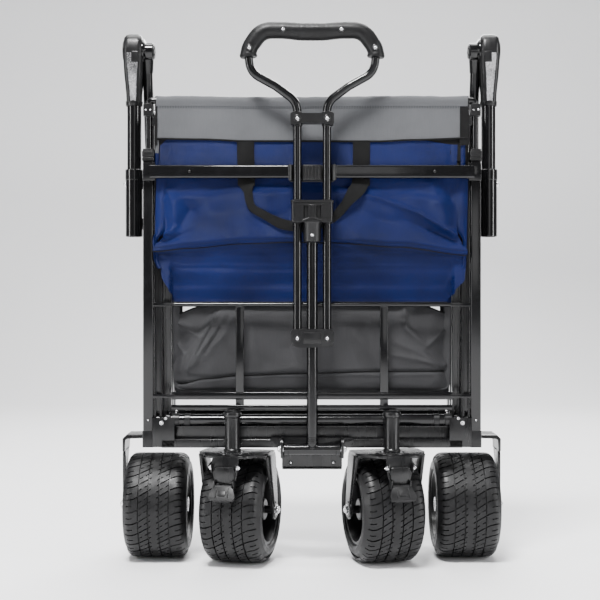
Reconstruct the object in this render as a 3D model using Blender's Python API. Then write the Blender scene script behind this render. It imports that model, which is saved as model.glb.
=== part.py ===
"""Folding beach wagon, standing folded: four wide wheels, scissor sides, fabric bag,
telescoping pull handle in front and push handle behind.

Metres, +Z up, front towards -Y. The origin is on the ground under the middle of the folded wagon.
"""

import math

import bmesh
import bpy
from mathutils import Matrix, Vector

# ---- driving dimensions ----------------------------------------------------------------------
GAP = 0.0003                 # gap between touching pieces
Y_CENTRE = 0.01574           # moves the folded wagon so that its box is centred on the origin

POST_X = 0.253               # half spacing of the corner posts
POST_WIDTH = 0.016
POST_Y = 0.046               # front posts at -POST_Y, rear posts at +POST_Y
POST_BOTTOM = 0.196
POST_TOP = 0.626
RAIL_Z = 0.719               # rods that carry the bag's hem
RAIL_RADIUS = 0.0052
RAIL_BORE = 0.0058
RAIL_FOOT_Z = 0.520
RAIL_BORE_FLOOR = 0.455
CROSSBAR_Z = (0.597, 0.617)
CROSSBAR_DEPTH = 0.0118
BASE_TUBE_Z = 0.2245
BASE_TUBE_RADIUS = 0.0085

# side linkage: three crossed pairs of bars on each side
UNITS = 3
PIVOT_Y = 0.040
PIVOT_BOTTOM_Z = 0.2245
PIVOT_TOP_Z = 0.701
DROP = 0.050                 # how far the top rails come down as the wagon opens
BAR_WIDTH = 0.016
BAR_LAYERS = ((0.2330, 0.2445), (0.2205, 0.2320))

WHEEL_RADIUS = 0.083
WHEEL_SIDES = 36
REAR_WHEEL_X = 0.244
REAR_WHEEL_Y = 0.018
REAR_TYRE_WIDTH = 0.100
CASTER_TYRE_WIDTH = 0.098
RIM_RADIUS = 0.054
HUB_BORE = 0.0068
AXLE_RADIUS = 0.0062

CASTER_X = 0.122
CASTER_Y = -0.068
CASTER_YAW = math.radians(13.0)
CASTER_TRAIL = 0.050
CASTER_PIN_RADIUS = 0.0057
CROWN_Z = (0.170, 0.176)
FORK_INSIDE = 0.0515

HANDLE_Y = -0.080            # plane of the pull handle
HANDLE_PIVOT_Z = 0.183
TWIN_X = 0.0225
TWIN_RADIUS = 0.0065
STEM_RADIUS = 0.0085
GRIP_RADIUS = 0.0127

PUSH_X = 0.289               # half spacing of the push handle's posts
PUSH_HUB_Z = 0.814
PUSH_BAR_X = 0.2675
PUSH_LEAN = math.radians(13.0)

SIDES = (("left", -1.0), ("right", 1.0))

AXLE_Z = WHEEL_RADIUS * math.cos(math.pi / WHEEL_SIDES)   # a flat of the tyre lies on the ground
FOLDED_SPAN = 2.0 * PIVOT_Y
BAR_LENGTH = math.hypot(PIVOT_TOP_Z - PIVOT_BOTTOM_Z, FOLDED_SPAN / UNITS)
FOLDED_ANGLE = math.asin(FOLDED_SPAN / UNITS / BAR_LENGTH)
OPEN_ANGLE = math.acos(math.cos(FOLDED_ANGLE) - DROP / BAR_LENGTH)
OPEN_SPAN = UNITS * BAR_LENGTH * math.sin(OPEN_ANGLE)
UNFOLD_TRAVEL = OPEN_SPAN - FOLDED_SPAN

PAINT = ("black_paint", (0.012, 0.012, 0.013), 0.28, 0.0)
SATIN = ("satin_paint", (0.022, 0.022, 0.024), 0.45, 0.0)
PLASTIC = ("black_plastic", (0.020, 0.020, 0.022), 0.50, 0.0)
STEEL = ("bright_steel", (0.62, 0.62, 0.64), 0.25, 1.0)
RUBBER = ("tyre_rubber", (0.018, 0.018, 0.019), 0.75, 0.0)
SOFT_GRIP = ("soft_grip", (0.022, 0.022, 0.023), 0.60, 0.0)
BLUE = ("blue_fabric", (0.045, 0.075, 0.24), 0.85, 0.0)
GREY = ("grey_fabric", (0.085, 0.085, 0.090), 0.85, 0.0)


# ---- scene helpers ---------------------------------------------------------------------------
def clear_scene():
    for obj in list(bpy.data.objects):
        bpy.data.objects.remove(obj, do_unlink=True)


def material(node, finish):
    label, colour, roughness, metallic = finish
    mat = bpy.data.materials.new(node + "_" + label)
    mat.use_nodes = True
    shader = mat.node_tree.nodes["Principled BSDF"]
    shader.inputs["Base Color"].default_value = (*colour, 1.0)
    shader.inputs["Roughness"].default_value = roughness
    shader.inputs["Metallic"].default_value = metallic
    return mat


def joint_frame(name, location, parent=None, yaw=0.0):
    """An empty on a joint's axis. Pieces placed on it are given in its own coordinates."""
    frame = bpy.data.objects.new(name + "_frame", None)
    bpy.context.scene.collection.objects.link(frame)
    frame.parent = parent
    frame.location = location
    frame.rotation_euler = (0.0, 0.0, yaw)
    return frame


def add_piece(node, mesh, frame, finish, smooth=False):
    obj = bpy.data.objects.new(node, mesh)
    bpy.context.scene.collection.objects.link(obj)
    obj.parent = frame
    mesh.materials.clear()
    mesh.materials.append(material(node, finish))
    if smooth:
        mesh.shade_smooth()
        mesh.set_sharp_from_angle(angle=math.radians(40.0))
    return obj


def mesh_from(bm, name):
    bmesh.ops.recalc_face_normals(bm, faces=bm.faces)
    mesh = bpy.data.meshes.new(name)
    bm.to_mesh(mesh)
    bm.free()
    return mesh


def cut(obj, cutter_mesh, operation="DIFFERENCE"):
    """Boolean with a hidden guide that has the same frame as the piece."""
    guide = bpy.data.objects.new(obj.name + "_guide", cutter_mesh)
    bpy.context.scene.collection.objects.link(guide)
    guide.parent = obj.parent
    guide.hide_render = True
    guide.display_type = "WIRE"
    modifier = obj.modifiers.new(operation.lower(), "BOOLEAN")
    modifier.operation = operation
    modifier.object = guide


# ---- shapes ----------------------------------------------------------------------------------
def block(low, high, bevel=0.0):
    """Box between two corners, its edges rounded off by one flat bevel."""
    bm = bmesh.new()
    low, high = Vector(low), Vector(high)
    size = high - low
    matrix = Matrix.Translation((low + high) / 2.0) @ Matrix.Diagonal((*size, 1.0))
    bmesh.ops.create_cube(bm, size=1.0, matrix=matrix)
    if bevel > 0.0:
        bmesh.ops.bevel(bm, geom=bm.edges[:], offset=bevel, segments=1, affect="EDGES")
    return mesh_from(bm, "block")


def ring_points(centre, tangent, side, radius, count):
    """Points of a circle round centre, square to tangent; side is a unit vector square to it."""
    across = tangent.cross(side).normalized()
    step = 2.0 * math.pi / count
    return [
        centre + radius * (math.cos(k * step) * side + math.sin(k * step) * across)
        for k in range(count)
    ]


def swept(path, radius, side, count=10, bore=0.0):
    """Rod along a flat path, or a sleeve where bore is given. side is the plane's normal."""
    points = [Vector(p) for p in path]
    side = Vector(side).normalized()
    radii = [radius, bore] if bore else [radius]
    bm = bmesh.new()
    stations = []
    for i, point in enumerate(points):
        before = points[max(i - 1, 0)]
        after = points[min(i + 1, len(points) - 1)]
        tangent = (after - before).normalized()
        rings = [
            [bm.verts.new(p) for p in ring_points(point, tangent, side, r, count)]
            for r in radii
        ]
        stations.append(rings)
    for here, there in zip(stations, stations[1:]):
        for a, b in zip(here, there):
            bridge(bm, a, b)
    for rings in (stations[0], stations[-1]):
        if bore:
            bridge(bm, rings[0], rings[1])
        else:
            bm.faces.new(rings[0])
    return mesh_from(bm, "swept")


def bridge(bm, a, b):
    for k in range(len(a)):
        n = (k + 1) % len(a)
        bm.faces.new((a[k], a[n], b[n], b[k]))


def turned(profile, sides, axis="X", phase=0.0):
    """Closed (radius, height) outline turned round an axis through the origin."""
    bm = bmesh.new()
    rings = []
    for radius, height in profile:
        ring = []
        for k in range(sides):
            angle = phase + 2.0 * math.pi * k / sides
            u, v = radius * math.cos(angle), radius * math.sin(angle)
            ring.append(bm.verts.new((height, u, v) if axis == "X" else (u, v, height)))
        rings.append(ring)
    for a, b in zip(rings, rings[1:] + rings[:1]):
        bridge(bm, a, b)
    return mesh_from(bm, "turned")


def extruded(outline, low, high, axis="X"):
    """Prism of a flat outline: (y, z) points run along X, or (x, y) points run along Z."""
    bm = bmesh.new()

    def at(point, depth):
        return (depth, *point) if axis == "X" else (*point, depth)

    a = [bm.verts.new(at(p, low)) for p in outline]
    b = [bm.verts.new(at(p, high)) for p in outline]
    bridge(bm, a, b)
    bm.faces.new(a)
    bm.faces.new(b)
    return mesh_from(bm, "extruded")


def plate_with_bores(outline, bores, low, high):
    """Plate in plan, with round bores (x, y, radius, sides) right through it along Z."""
    curve = bpy.data.curves.new("plate", "CURVE")
    curve.dimensions = "2D"
    curve.fill_mode = "BOTH"
    curve.extrude = (high - low) / 2.0
    loops = [outline]
    for x, y, radius, sides in bores:
        loops.append(circle(x, y, radius, sides))
    for loop in loops:
        spline = curve.splines.new("POLY")
        spline.points.add(len(loop) - 1)
        for point, (x, y) in zip(spline.points, loop):
            point.co = (x, y, 0.0, 1.0)
        spline.use_cyclic_u = True
    helper = bpy.data.objects.new("plate", curve)
    mesh = bpy.data.meshes.new_from_object(helper)
    bpy.data.objects.remove(helper)
    mesh.transform(Matrix.Translation((0.0, 0.0, (low + high) / 2.0)))
    bm = bmesh.new()
    bm.from_mesh(mesh)
    bmesh.ops.remove_doubles(bm, verts=bm.verts, dist=1e-6)
    bpy.data.meshes.remove(mesh)
    return mesh_from(bm, "plate")


def circle(x, y, radius, sides):
    step = 2.0 * math.pi / sides
    return [(x + radius * math.cos(k * step), y + radius * math.sin(k * step)) for k in range(sides)]


def rounded_rectangle(x0, x1, y0, y1, radius, steps=2):
    corners = ((x1, y1, 0.0), (x0, y1, 90.0), (x0, y0, 180.0), (x1, y0, 270.0))
    points = []
    for x, y, start in corners:
        cx = x - math.copysign(radius, x - (x0 + x1) / 2.0)
        cy = y - math.copysign(radius, y - (y0 + y1) / 2.0)
        for k in range(steps + 1):
            angle = math.radians(start + 90.0 * k / steps)
            points.append((cx + radius * math.cos(angle), cy + radius * math.sin(angle)))
    return points


def filleted(corners, radius, steps=4):
    """Path through corners, each one turned with an arc of about the given radius."""
    points = [Vector(c) for c in corners]
    path = [points[0]]
    for before, corner, after in zip(points, points[1:], points[2:]):
        into, out = (before - corner).normalized(), (after - corner).normalized()
        reach = radius / math.tan(into.angle(out) / 2.0)
        reach = min(reach, 0.49 * (before - corner).length, 0.49 * (after - corner).length)
        start, end = corner + into * reach, corner + out * reach
        for k in range(steps + 1):
            t = k / steps
            path.append((1 - t) ** 2 * start + 2 * t * (1 - t) * corner + t * t * end)
    path.append(points[-1])
    return path


# ---- frame -----------------------------------------------------------------------------------
def corner_post(node, x, y, frame):
    half = POST_WIDTH / 2.0
    mesh = block((x - half, y - half, POST_BOTTOM), (x + half, y + half, POST_TOP))
    post = add_piece(node, mesh, frame, PAINT)
    bore = swept([(x, y, RAIL_BORE_FLOOR), (x, y, POST_TOP + 0.01)], RAIL_BORE, (0, 1, 0), 12)
    cut(post, bore)
    return post


def top_frame(node, y, frame):
    """Rod bent into an upside-down U: its legs slide in the posts, the bag hangs from its top."""
    corners = [(-POST_X, y, RAIL_FOOT_Z), (-POST_X, y, RAIL_Z),
               (POST_X, y, RAIL_Z), (POST_X, y, RAIL_FOOT_Z)]
    path = filleted(corners, 0.008, 3)
    add_piece(node, swept(path, RAIL_RADIUS, (0, 1, 0), 10), frame, PAINT, smooth=True)


def crossbar(node, y_sign, frame):
    near = POST_Y + POST_WIDTH / 2.0 + GAP
    far = near + CROSSBAR_DEPTH
    y0, y1 = sorted((y_sign * near, y_sign * far))
    low, high = CROSSBAR_Z
    add_piece(node, block((-POST_X + 0.004, y0, low), (POST_X - 0.004, y1, high), 0.0015), frame, PAINT)


def base_tube(node, y, frame):
    reach = BAR_LAYERS[1][0] - 0.0025
    path = [(-reach, y, BASE_TUBE_Z), (reach, y, BASE_TUBE_Z)]
    add_piece(node, swept(path, BASE_TUBE_RADIUS, (0, 1, 0), 16), frame, PAINT, smooth=True)


def front_grille(frame):
    """Welded wire guard below the bag's front wall: rails and two uprights."""
    y0, y1 = -0.0530, -0.0466
    half = 0.2170
    upright = 0.1115
    top = block((-half, y0, 0.3995), (half, y1, 0.4065))
    grille = add_piece("front_grille", top, frame, PAINT)
    for low, high in ((0.2400, 0.2480), (0.2560, 0.2680)):
        cut(grille, block((-half, y0, low), (half, y1, high)), "UNION")
    for x in (-upright, upright):
        cut(grille, block((x - 0.0065, y0 + 0.0004, 0.2390), (x + 0.0065, y1 - 0.0004, 0.4060)), "UNION")


def front_base(frame):
    bar = block((-0.232, -0.0560, 0.182), (0.232, -0.0395, POST_BOTTOM - GAP), 0.001)
    add_piece("front_base_bar", bar, frame, PAINT)
    for side, sign in SIDES:
        wall, bore = 0.0115, CASTER_PIN_RADIUS + 0.0004
        profile = [(bore, 0.1775), (wall + 0.0015, 0.1775), (wall + 0.0015, 0.1815), (wall, 0.1825),
                   (wall, 0.2310), (0.0140, 0.2315), (0.0140, 0.2370), (0.0105, 0.2400), (bore, 0.2400)]
        socket = turned(profile, 16, "Z")
        socket.transform(Matrix.Translation((sign * CASTER_X, CASTER_Y, 0.0)))
        add_piece("caster_socket_" + side, socket, frame, SATIN, smooth=True)


def handle_bracket(frame):
    """Sheet plate hung from the base bar, with two ears and the pin of the pull handle."""
    plate = extruded([(-0.0640, 0.1980), (-0.0480, 0.1500), (0.0480, 0.1500), (0.0640, 0.1980)],
                     0.0, 0.0035, "X")
    plate.transform(Matrix(((0, 1, 0, 0), (1, 0, 0, -0.0600), (0, 0, 1, 0), (0, 0, 0, 1))))
    plate.flip_normals()
    bracket = add_piece("handle_bracket", plate, frame, SATIN)
    for sign in (-1.0, 1.0):
        x0, x1 = sorted((sign * 0.0442, sign * 0.0480))
        cut(bracket, block((x0, -0.0925, 0.1700), (x1, -0.0590, 0.2000)), "UNION")
    pin = [(-0.0520, HANDLE_Y, HANDLE_PIVOT_Z), (0.0520, HANDLE_Y, HANDLE_PIVOT_Z)]
    cut(bracket, swept(pin, 0.0040, (0, 1, 0), 12), "UNION")


def rear_post(side, sign, frame):
    """Rear corner post with the sleeve of the push handle welded on by two bridges."""
    half = POST_WIDTH / 2.0
    post = corner_post("rear_post_" + side, sign * POST_X, POST_Y, frame)
    sleeve_path = [(sign * PUSH_X, POST_Y, 0.513), (sign * PUSH_X, POST_Y, 0.622)]
    cut(post, swept(sleeve_path, 0.0137, (0, 1, 0), 20), "UNION")
    x0, x1 = sorted((sign * (POST_X + half - 0.001), sign * (PUSH_X - 0.012)))
    for low in (0.5250, 0.5950):
        cut(post, block((x0, POST_Y - 0.004, low), (x1, POST_Y + 0.004, low + 0.016)), "UNION")
    bore_path = [(sign * PUSH_X, POST_Y, 0.500), (sign * PUSH_X, POST_Y, 0.640)]
    cut(post, swept(bore_path, 0.0119, (0, 1, 0), 20))
    hole = [(sign * PUSH_X, POST_Y, 0.598), (sign * (PUSH_X + 0.02), POST_Y, 0.598)]
    cut(post, swept(hole, 0.0044, (0, 1, 0), 10))


def rear_fork(side, sign, frame):
    """Flat bar over the wheel, bent down outside it, with the axle stub."""
    leg_out, leg_in = REAR_WHEEL_X + 0.0565, REAR_WHEEL_X + 0.0525
    inner = POST_X - 0.007
    outline = [(inner, 0.1895), (leg_in, 0.1895), (leg_in, 0.0660), (leg_out, 0.0660),
               (leg_out, 0.1910), (leg_out - 0.0045, POST_BOTTOM - GAP), (inner, POST_BOTTOM - GAP)]
    bm = bmesh.new()
    rings = [[bm.verts.new((sign * x, y, z)) for x, z in outline] for y in (-0.002, 0.054)]
    bridge(bm, rings[0], rings[1])
    bm.faces.new(rings[0])
    bm.faces.new(rings[1])
    fork = add_piece("rear_fork_" + side, mesh_from(bm, "fork"), frame, SATIN)
    for y0, y1 in ((-0.010, 0.004), (0.032, 0.060)):
        x0, x1 = sorted((sign * (leg_in - 0.002), sign * (leg_out + 0.002)))
        cut(fork, block((x0, y0, 0.0500), (x1, y1, 0.1700)))
    axle = [(sign * (REAR_WHEEL_X - 0.046), REAR_WHEEL_Y, AXLE_Z), (sign * (leg_out - 0.001), REAR_WHEEL_Y, AXLE_Z)]
    cut(fork, swept(axle, AXLE_RADIUS, (0, 1, 0), 14), "UNION")


# ---- side linkage ----------------------------------------------------------------------------
def linkage_bar(node, layer, sign, hinge, other, frame):
    """Flat bar with round ends between two pivots; it is placed with its hinge at the frame."""
    inner, outer = BAR_LAYERS[layer]
    along = (Vector(other) - Vector(hinge)).normalized()
    across = Vector((-along.y, along.x))
    length = (Vector(other) - Vector(hinge)).length
    half = BAR_WIDTH / 2.0
    outline = []
    for centre, start in ((0.0, 90.0), (length, -90.0)):
        for k in range(7):
            angle = math.radians(start + 180.0 * k / 6)
            point = along * (centre + half * math.cos(angle)) + across * (half * math.sin(angle))
            outline.append((point.x, point.y))
    x0, x1 = sorted((sign * inner, sign * outer))
    add_piece(node, extruded(outline, x0, x1), frame, SATIN)


def side_linkage(side, sign, root, front_top, rear_top, rear_frame):
    """Rising bars lean back in the outer layer, falling bars lean forward in the inner one."""
    step = FOLDED_SPAN / UNITS
    ys = [-PIVOT_Y + k * step for k in range(UNITS + 1)]
    low, high = PIVOT_BOTTOM_Z, PIVOT_TOP_Z

    def frame_at(name, y, z, parent, parent_at=(0.0, 0.0, 0.0)):
        return joint_frame(name, Vector((0.0, y, z)) - Vector(parent_at), parent)

    names = ["rising_bar_{}_{}", "falling_bar_{}_{}"]
    rise = [names[0].format(k + 1, side) for k in range(UNITS)]
    fall = [names[1].format(k + 1, side) for k in range(UNITS)]
    at_rise_0 = frame_at(rise[0], ys[0], low, root)
    at_fall_0 = frame_at(fall[0], ys[0], high, front_top)
    at_rise_1 = frame_at(rise[1], ys[1], low, at_fall_0, (0.0, ys[0], high))
    at_fall_1 = frame_at(fall[1], ys[1], high, at_rise_0, (0.0, ys[0], low))
    at_rise_2 = frame_at(rise[2], ys[3], high, rear_top)
    at_fall_2 = frame_at(fall[2], ys[3], low, rear_frame)
    linkage_bar(rise[0], 0, sign, (ys[0], low), (ys[1], high), at_rise_0)
    linkage_bar(fall[0], 1, sign, (ys[0], high), (ys[1], low), at_fall_0)
    linkage_bar(rise[1], 0, sign, (ys[1], low), (ys[2], high), at_rise_1)
    linkage_bar(fall[1], 1, sign, (ys[1], high), (ys[2], low), at_fall_1)
    linkage_bar(rise[2], 0, sign, (ys[3], high), (ys[2], low), at_rise_2)
    linkage_bar(fall[2], 1, sign, (ys[3], low), (ys[2], high), at_fall_2)


# ---- wheels ----------------------------------------------------------------------------------
def tyre_profile(width):
    half = width / 2.0
    inner = RIM_RADIUS + GAP
    outer = [(WHEEL_RADIUS, 0.80), (WHEEL_RADIUS - 0.0035, 0.90), (WHEEL_RADIUS - 0.0110, 0.985),
             (WHEEL_RADIUS - 0.0200, 1.0)]
    right = [(radius, share * half) for radius, share in outer] + [(inner, 0.90 * half)]
    left = [(radius, -height) for radius, height in reversed(right)]
    return right + left


def rim_profile(width):
    barrel = 0.90 * width / 2.0
    web = 0.005
    hub = 0.0170
    half_hub = 0.40 * width
    return [(HUB_BORE, half_hub), (hub, half_hub), (hub + 0.002, web), (RIM_RADIUS - 0.005, web),
            (RIM_RADIUS - 0.004, barrel), (RIM_RADIUS, barrel), (RIM_RADIUS, -barrel),
            (RIM_RADIUS - 0.004, -barrel), (RIM_RADIUS - 0.005, -web), (hub + 0.002, -web),
            (hub, -half_hub), (HUB_BORE, -half_hub)]


def wheel(prefix, side, width, frame):
    """Tyre and rim on the wheel's own axle frame."""
    flat_down = math.pi / WHEEL_SIDES - math.pi / 2.0
    tyre = turned(tyre_profile(width), WHEEL_SIDES, "X", flat_down)
    add_piece(prefix + "_tyre_" + side, tyre, frame, RUBBER, smooth=True)
    rim = turned(rim_profile(width), 24, "X")
    add_piece(prefix + "_rim_" + side, rim, frame, PLASTIC, smooth=True)


def caster(side, sign, root):
    """Swivelling fork with its wheel and brake pedal; the fork's frame points backwards."""
    swivel = joint_frame("caster_swivel_" + side, (sign * CASTER_X, CASTER_Y, 0.0), root, sign * CASTER_YAW)
    low, high = CROWN_Z
    reach = FORK_INSIDE + 0.0040
    crown = extruded([(-reach, 0.004), (-0.030, -0.038), (0.030, -0.038), (reach, 0.004),
                      (reach, 0.052), (-reach, 0.052)], low, high, "Z")
    fork = add_piece("caster_fork_" + side, crown, swivel, SATIN)
    for end in (-1.0, 1.0):
        bm = bmesh.new()
        outline = [(0.006, high - 0.001), (0.051, high - 0.001), (0.064, AXLE_Z + 0.004),
                   (0.059, AXLE_Z - 0.011), (0.050, AXLE_Z - 0.015), (0.041, AXLE_Z - 0.011),
                   (0.036, AXLE_Z + 0.004)]
        rings = [[bm.verts.new((x, y, z)) for y, z in outline]
                 for x in (end * FORK_INSIDE, end * (reach - 0.0003))]
        bridge(bm, rings[0], rings[1])
        bm.faces.new(rings[0])
        bm.faces.new(rings[1])
        cut(fork, mesh_from(bm, "arm"), "UNION")
    cut(fork, block((-0.018, -0.0400, 0.1350), (0.018, -0.0360, high - 0.001)), "UNION")
    pin = [(0.0, 0.0, low + 0.001), (0.0, 0.0, 0.2395)]
    cut(fork, swept(pin, CASTER_PIN_RADIUS, (0, 1, 0), 14), "UNION")
    axle = [(-reach - 0.006, CASTER_TRAIL, AXLE_Z), (reach + 0.006, CASTER_TRAIL, AXLE_Z)]
    cut(fork, swept(axle, AXLE_RADIUS, (0, 1, 0), 14), "UNION")

    axle_frame = joint_frame("caster_axle_" + side, (0.0, CASTER_TRAIL, AXLE_Z), swivel)
    wheel("caster", side, CASTER_TYRE_WIDTH, axle_frame)

    pedal_frame = joint_frame("brake_" + side, (0.0, -0.0450, 0.1300), swivel)
    outline = [(0.0035, 0.0042), (0.0090, -0.0100), (0.0080, -0.0215), (-0.0070, -0.0230),
               (-0.0160, -0.0180), (-0.0060, 0.0042)]
    pedal = extruded(outline, -0.021, 0.021)
    add_piece("brake_pedal_" + side, pedal, pedal_frame, PLASTIC)


def rear_wheel(side, sign, rear_frame):
    frame = joint_frame("rear_axle_" + side, (sign * REAR_WHEEL_X, REAR_WHEEL_Y, AXLE_Z), rear_frame)
    wheel("rear", side, REAR_TYRE_WIDTH, frame)


# ---- pull handle -----------------------------------------------------------------------------
def pull_handle(root):
    """Stem that swings on the bracket's pin; the loop slides up on it. Own frame at the pin."""
    swing = joint_frame("pull_swing", (0.0, HANDLE_Y, HANDLE_PIVOT_Z), root)
    lift = -HANDLE_PIVOT_Z

    sleeve = swept([(-0.0435, 0.0, 0.0), (0.0435, 0.0, 0.0)], 0.0090, (0, 1, 0), 16)
    stem = add_piece("handle_stem", sleeve, swing, PAINT, smooth=True)
    cut(stem, swept([(0.0, 0.0, 0.0), (0.0, 0.0, 0.4970 + lift - GAP)], STEM_RADIUS, (0, 1, 0), 16), "UNION")
    cut(stem, swept([(-0.06, 0.0, 0.0), (0.06, 0.0, 0.0)], 0.0045, (0, 1, 0), 12))

    bore = TWIN_RADIUS + 0.0004
    twins = [(-TWIN_X, 0.0, bore, 14), (TWIN_X, 0.0, bore, 14)]
    outline = rounded_rectangle(-0.0315, 0.0315, -0.0145, 0.0130, 0.004)
    notch = [(-0.0068, -0.0145), (-0.0068, -0.0095), (0.0068, -0.0095), (0.0068, -0.0145)]
    outline = outline[:9] + notch + outline[9:]
    clamp = plate_with_bores(outline, twins, 0.5275 + lift, 0.5610 + lift)
    clamp_piece = add_piece("handle_clamp", clamp, swing, PLASTIC)
    cut(clamp_piece, swept([(0, 0, 0.4970 + lift), (0, 0, 0.5300 + lift)], 0.0135, (0, 1, 0), 16), "UNION")

    press = joint_frame("handle_button", (0.0, -0.0125, 0.5440 + lift), swing)
    button = block((-0.0062, -0.0032, -0.0100), (0.0062, 0.0000, 0.0100), 0.0008)
    add_piece("handle_button", button, press, PLASTIC)

    extend = joint_frame("pull_extend", (0.0, 0.0, 0.0), swing)
    half = [(-TWIN_X, 0.0, 0.3420), (-TWIN_X, 0.0, 0.7105), (-0.0557, 0.0, 0.7350),
            (-0.0940, 0.0, 0.7560), (-0.0978, 0.0, 0.7900), (-0.0770, 0.0, 0.8200)]
    mirrored = [(-x, y, z) for x, y, z in reversed(half)]
    corners = [(x, y, z + lift) for x, y, z in half + mirrored]
    loop = filleted(corners, 0.030, 5)
    add_piece("handle_loop", swept(loop, TWIN_RADIUS, (0, 1, 0), 12), extend, PAINT, smooth=True)

    grip_path = [p for p in loop if p.z > 0.7760 + lift]
    grip_sleeve = swept(grip_path, GRIP_RADIUS, (0, 1, 0), 14, bore=TWIN_RADIUS + GAP)
    add_piece("handle_grip", grip_sleeve, extend, SOFT_GRIP, smooth=True)

    fit = TWIN_RADIUS + GAP
    twins = [(-TWIN_X, 0.0, fit, 14), (TWIN_X, 0.0, fit, 14)]
    upper = plate_with_bores(rounded_rectangle(-0.0330, 0.0330, -0.0090, 0.0090, 0.003), twins,
                             0.6750 + lift, 0.6950 + lift)
    add_piece("handle_upper_bracket", upper, extend, PLASTIC)
    stem_bore = [(0.0, 0.0, STEM_RADIUS + 0.0004, 16)]
    lower = plate_with_bores(rounded_rectangle(-0.0325, 0.0325, -0.0125, 0.0110, 0.005), twins + stem_bore,
                             0.3380 + lift, 0.3660 + lift)
    add_piece("handle_lower_bracket", lower, extend, PLASTIC)


# ---- push handle -----------------------------------------------------------------------------
def keyed_tube_outline(x, y, sign):
    """Round tube seen from above, with a shallow groove down its outer side."""
    radius, groove_half, floor = 0.0115, 0.0050, 0.0070
    start = math.asin(groove_half / radius)
    points = []
    for k in range(19):
        angle = start + (2.0 * math.pi - 2.0 * start) * k / 18
        points.append((x + sign * radius * math.cos(angle), y + radius * math.sin(angle)))
    points.append((x + sign * floor, y - groove_half))
    points.append((x + sign * floor, y + groove_half))
    return points


def push_handle(rear_frame):
    """Two posts that slide in the rear sleeves, and a bar that turns on their heads."""
    lift = joint_frame("push_extend", (0.0, 0.0, 0.0), rear_frame)
    for side, sign in SIDES:
        x = sign * PUSH_X
        tube = extruded(keyed_tube_outline(x, POST_Y, sign), 0.5160, 0.7310 - GAP, "Z")
        add_piece("push_post_" + side, tube, lift, PAINT, smooth=True)
        outline = [(-0.0125, 0.7310), (0.0125, 0.7310), (0.0135, 0.7440), (0.0215, 0.7760), (0.0235, 0.8120)]
        for k in range(1, 8):
            angle = math.radians(22.5 * k)
            outline.append((0.0235 * math.cos(angle), 0.8140 + 0.0270 * math.sin(angle)))
        outline += [(-0.0235, 0.8120), (-0.0215, 0.7760), (-0.0135, 0.7440)]
        x0, x1 = sorted((sign * 0.2790, sign * 0.3110))
        head = extruded([(POST_Y + y, z) for y, z in outline], x0, x1)
        add_piece("push_head_" + side, head, lift, PLASTIC)
        snap = joint_frame("snap_" + side, (x, POST_Y, 0.598), rear_frame)
        snap_path = [(sign * 0.0127, 0.0, 0.0), (sign * 0.0170, 0.0, 0.0)]
        add_piece("snap_button_" + side, swept(snap_path, 0.0040, (0, 1, 0), 10), snap, STEEL, smooth=True)

    turn = joint_frame("push_turn", (0.0, POST_Y, PUSH_HUB_Z), lift)
    reach = 0.178
    down = Vector((0.0, math.sin(PUSH_LEAN), -math.cos(PUSH_LEAN)))
    start, end = down * 0.016, down * reach
    corners = [(-PUSH_BAR_X, *start.yz), (-PUSH_BAR_X, *end.yz), (PUSH_BAR_X, *end.yz), (PUSH_BAR_X, *start.yz)]
    path = filleted(corners, 0.030, 5)
    normal = Vector((1.0, 0.0, 0.0)).cross(down)
    bar = add_piece("push_bar", swept(path, 0.0080, normal, 12), turn, PAINT, smooth=True)
    hub = [(0.0120, -0.0105), (0.0185, -0.0105), (0.0200, -0.0085), (0.0200, 0.0110), (0.0120, 0.0110)]
    for side, sign in SIDES:
        disc = turned([(r, sign * h) for r, h in hub], 20, "X")
        disc.transform(Matrix.Translation((sign * PUSH_BAR_X, 0.0, 0.0)))
        cut(bar, disc, "UNION")
        well = [(sign * (PUSH_BAR_X - 0.02), 0.0, 0.0), (sign * (PUSH_BAR_X + 0.02), 0.0, 0.0)]
        cut(bar, swept(well, 0.0120, (0, 1, 0), 20))
        button = joint_frame("hub_button_" + side, (sign * 0.2640, 0.0, 0.0), turn)
        button_path = [(-sign * 0.0090, 0.0, 0.0), (sign * 0.0090, 0.0, 0.0)]
        add_piece("hub_button_" + side, swept(button_path, 0.0114, (0, 1, 0), 16), button, PLASTIC, smooth=True)


# ---- bag -------------------------------------------------------------------------------------
def bag(front_top, rear_top):
    """Plain solids of the bag: its front wall, its rear wall and the folded floor between."""
    front = block((-0.214, -0.0400, 0.4090), (0.214, -0.0180, 0.7100), 0.004)
    add_piece("bag_front_wall", front, front_top, BLUE)
    rear = block((-0.214, 0.0180, 0.4090), (0.214, 0.0400, 0.7100), 0.004)
    add_piece("bag_rear_wall", rear, rear_top, BLUE)
    floor = block((-0.211, -0.0300, 0.2620), (0.211, 0.0300, 0.4030), 0.010)
    add_piece("bag_floor", floor, front_top, GREY)


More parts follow.
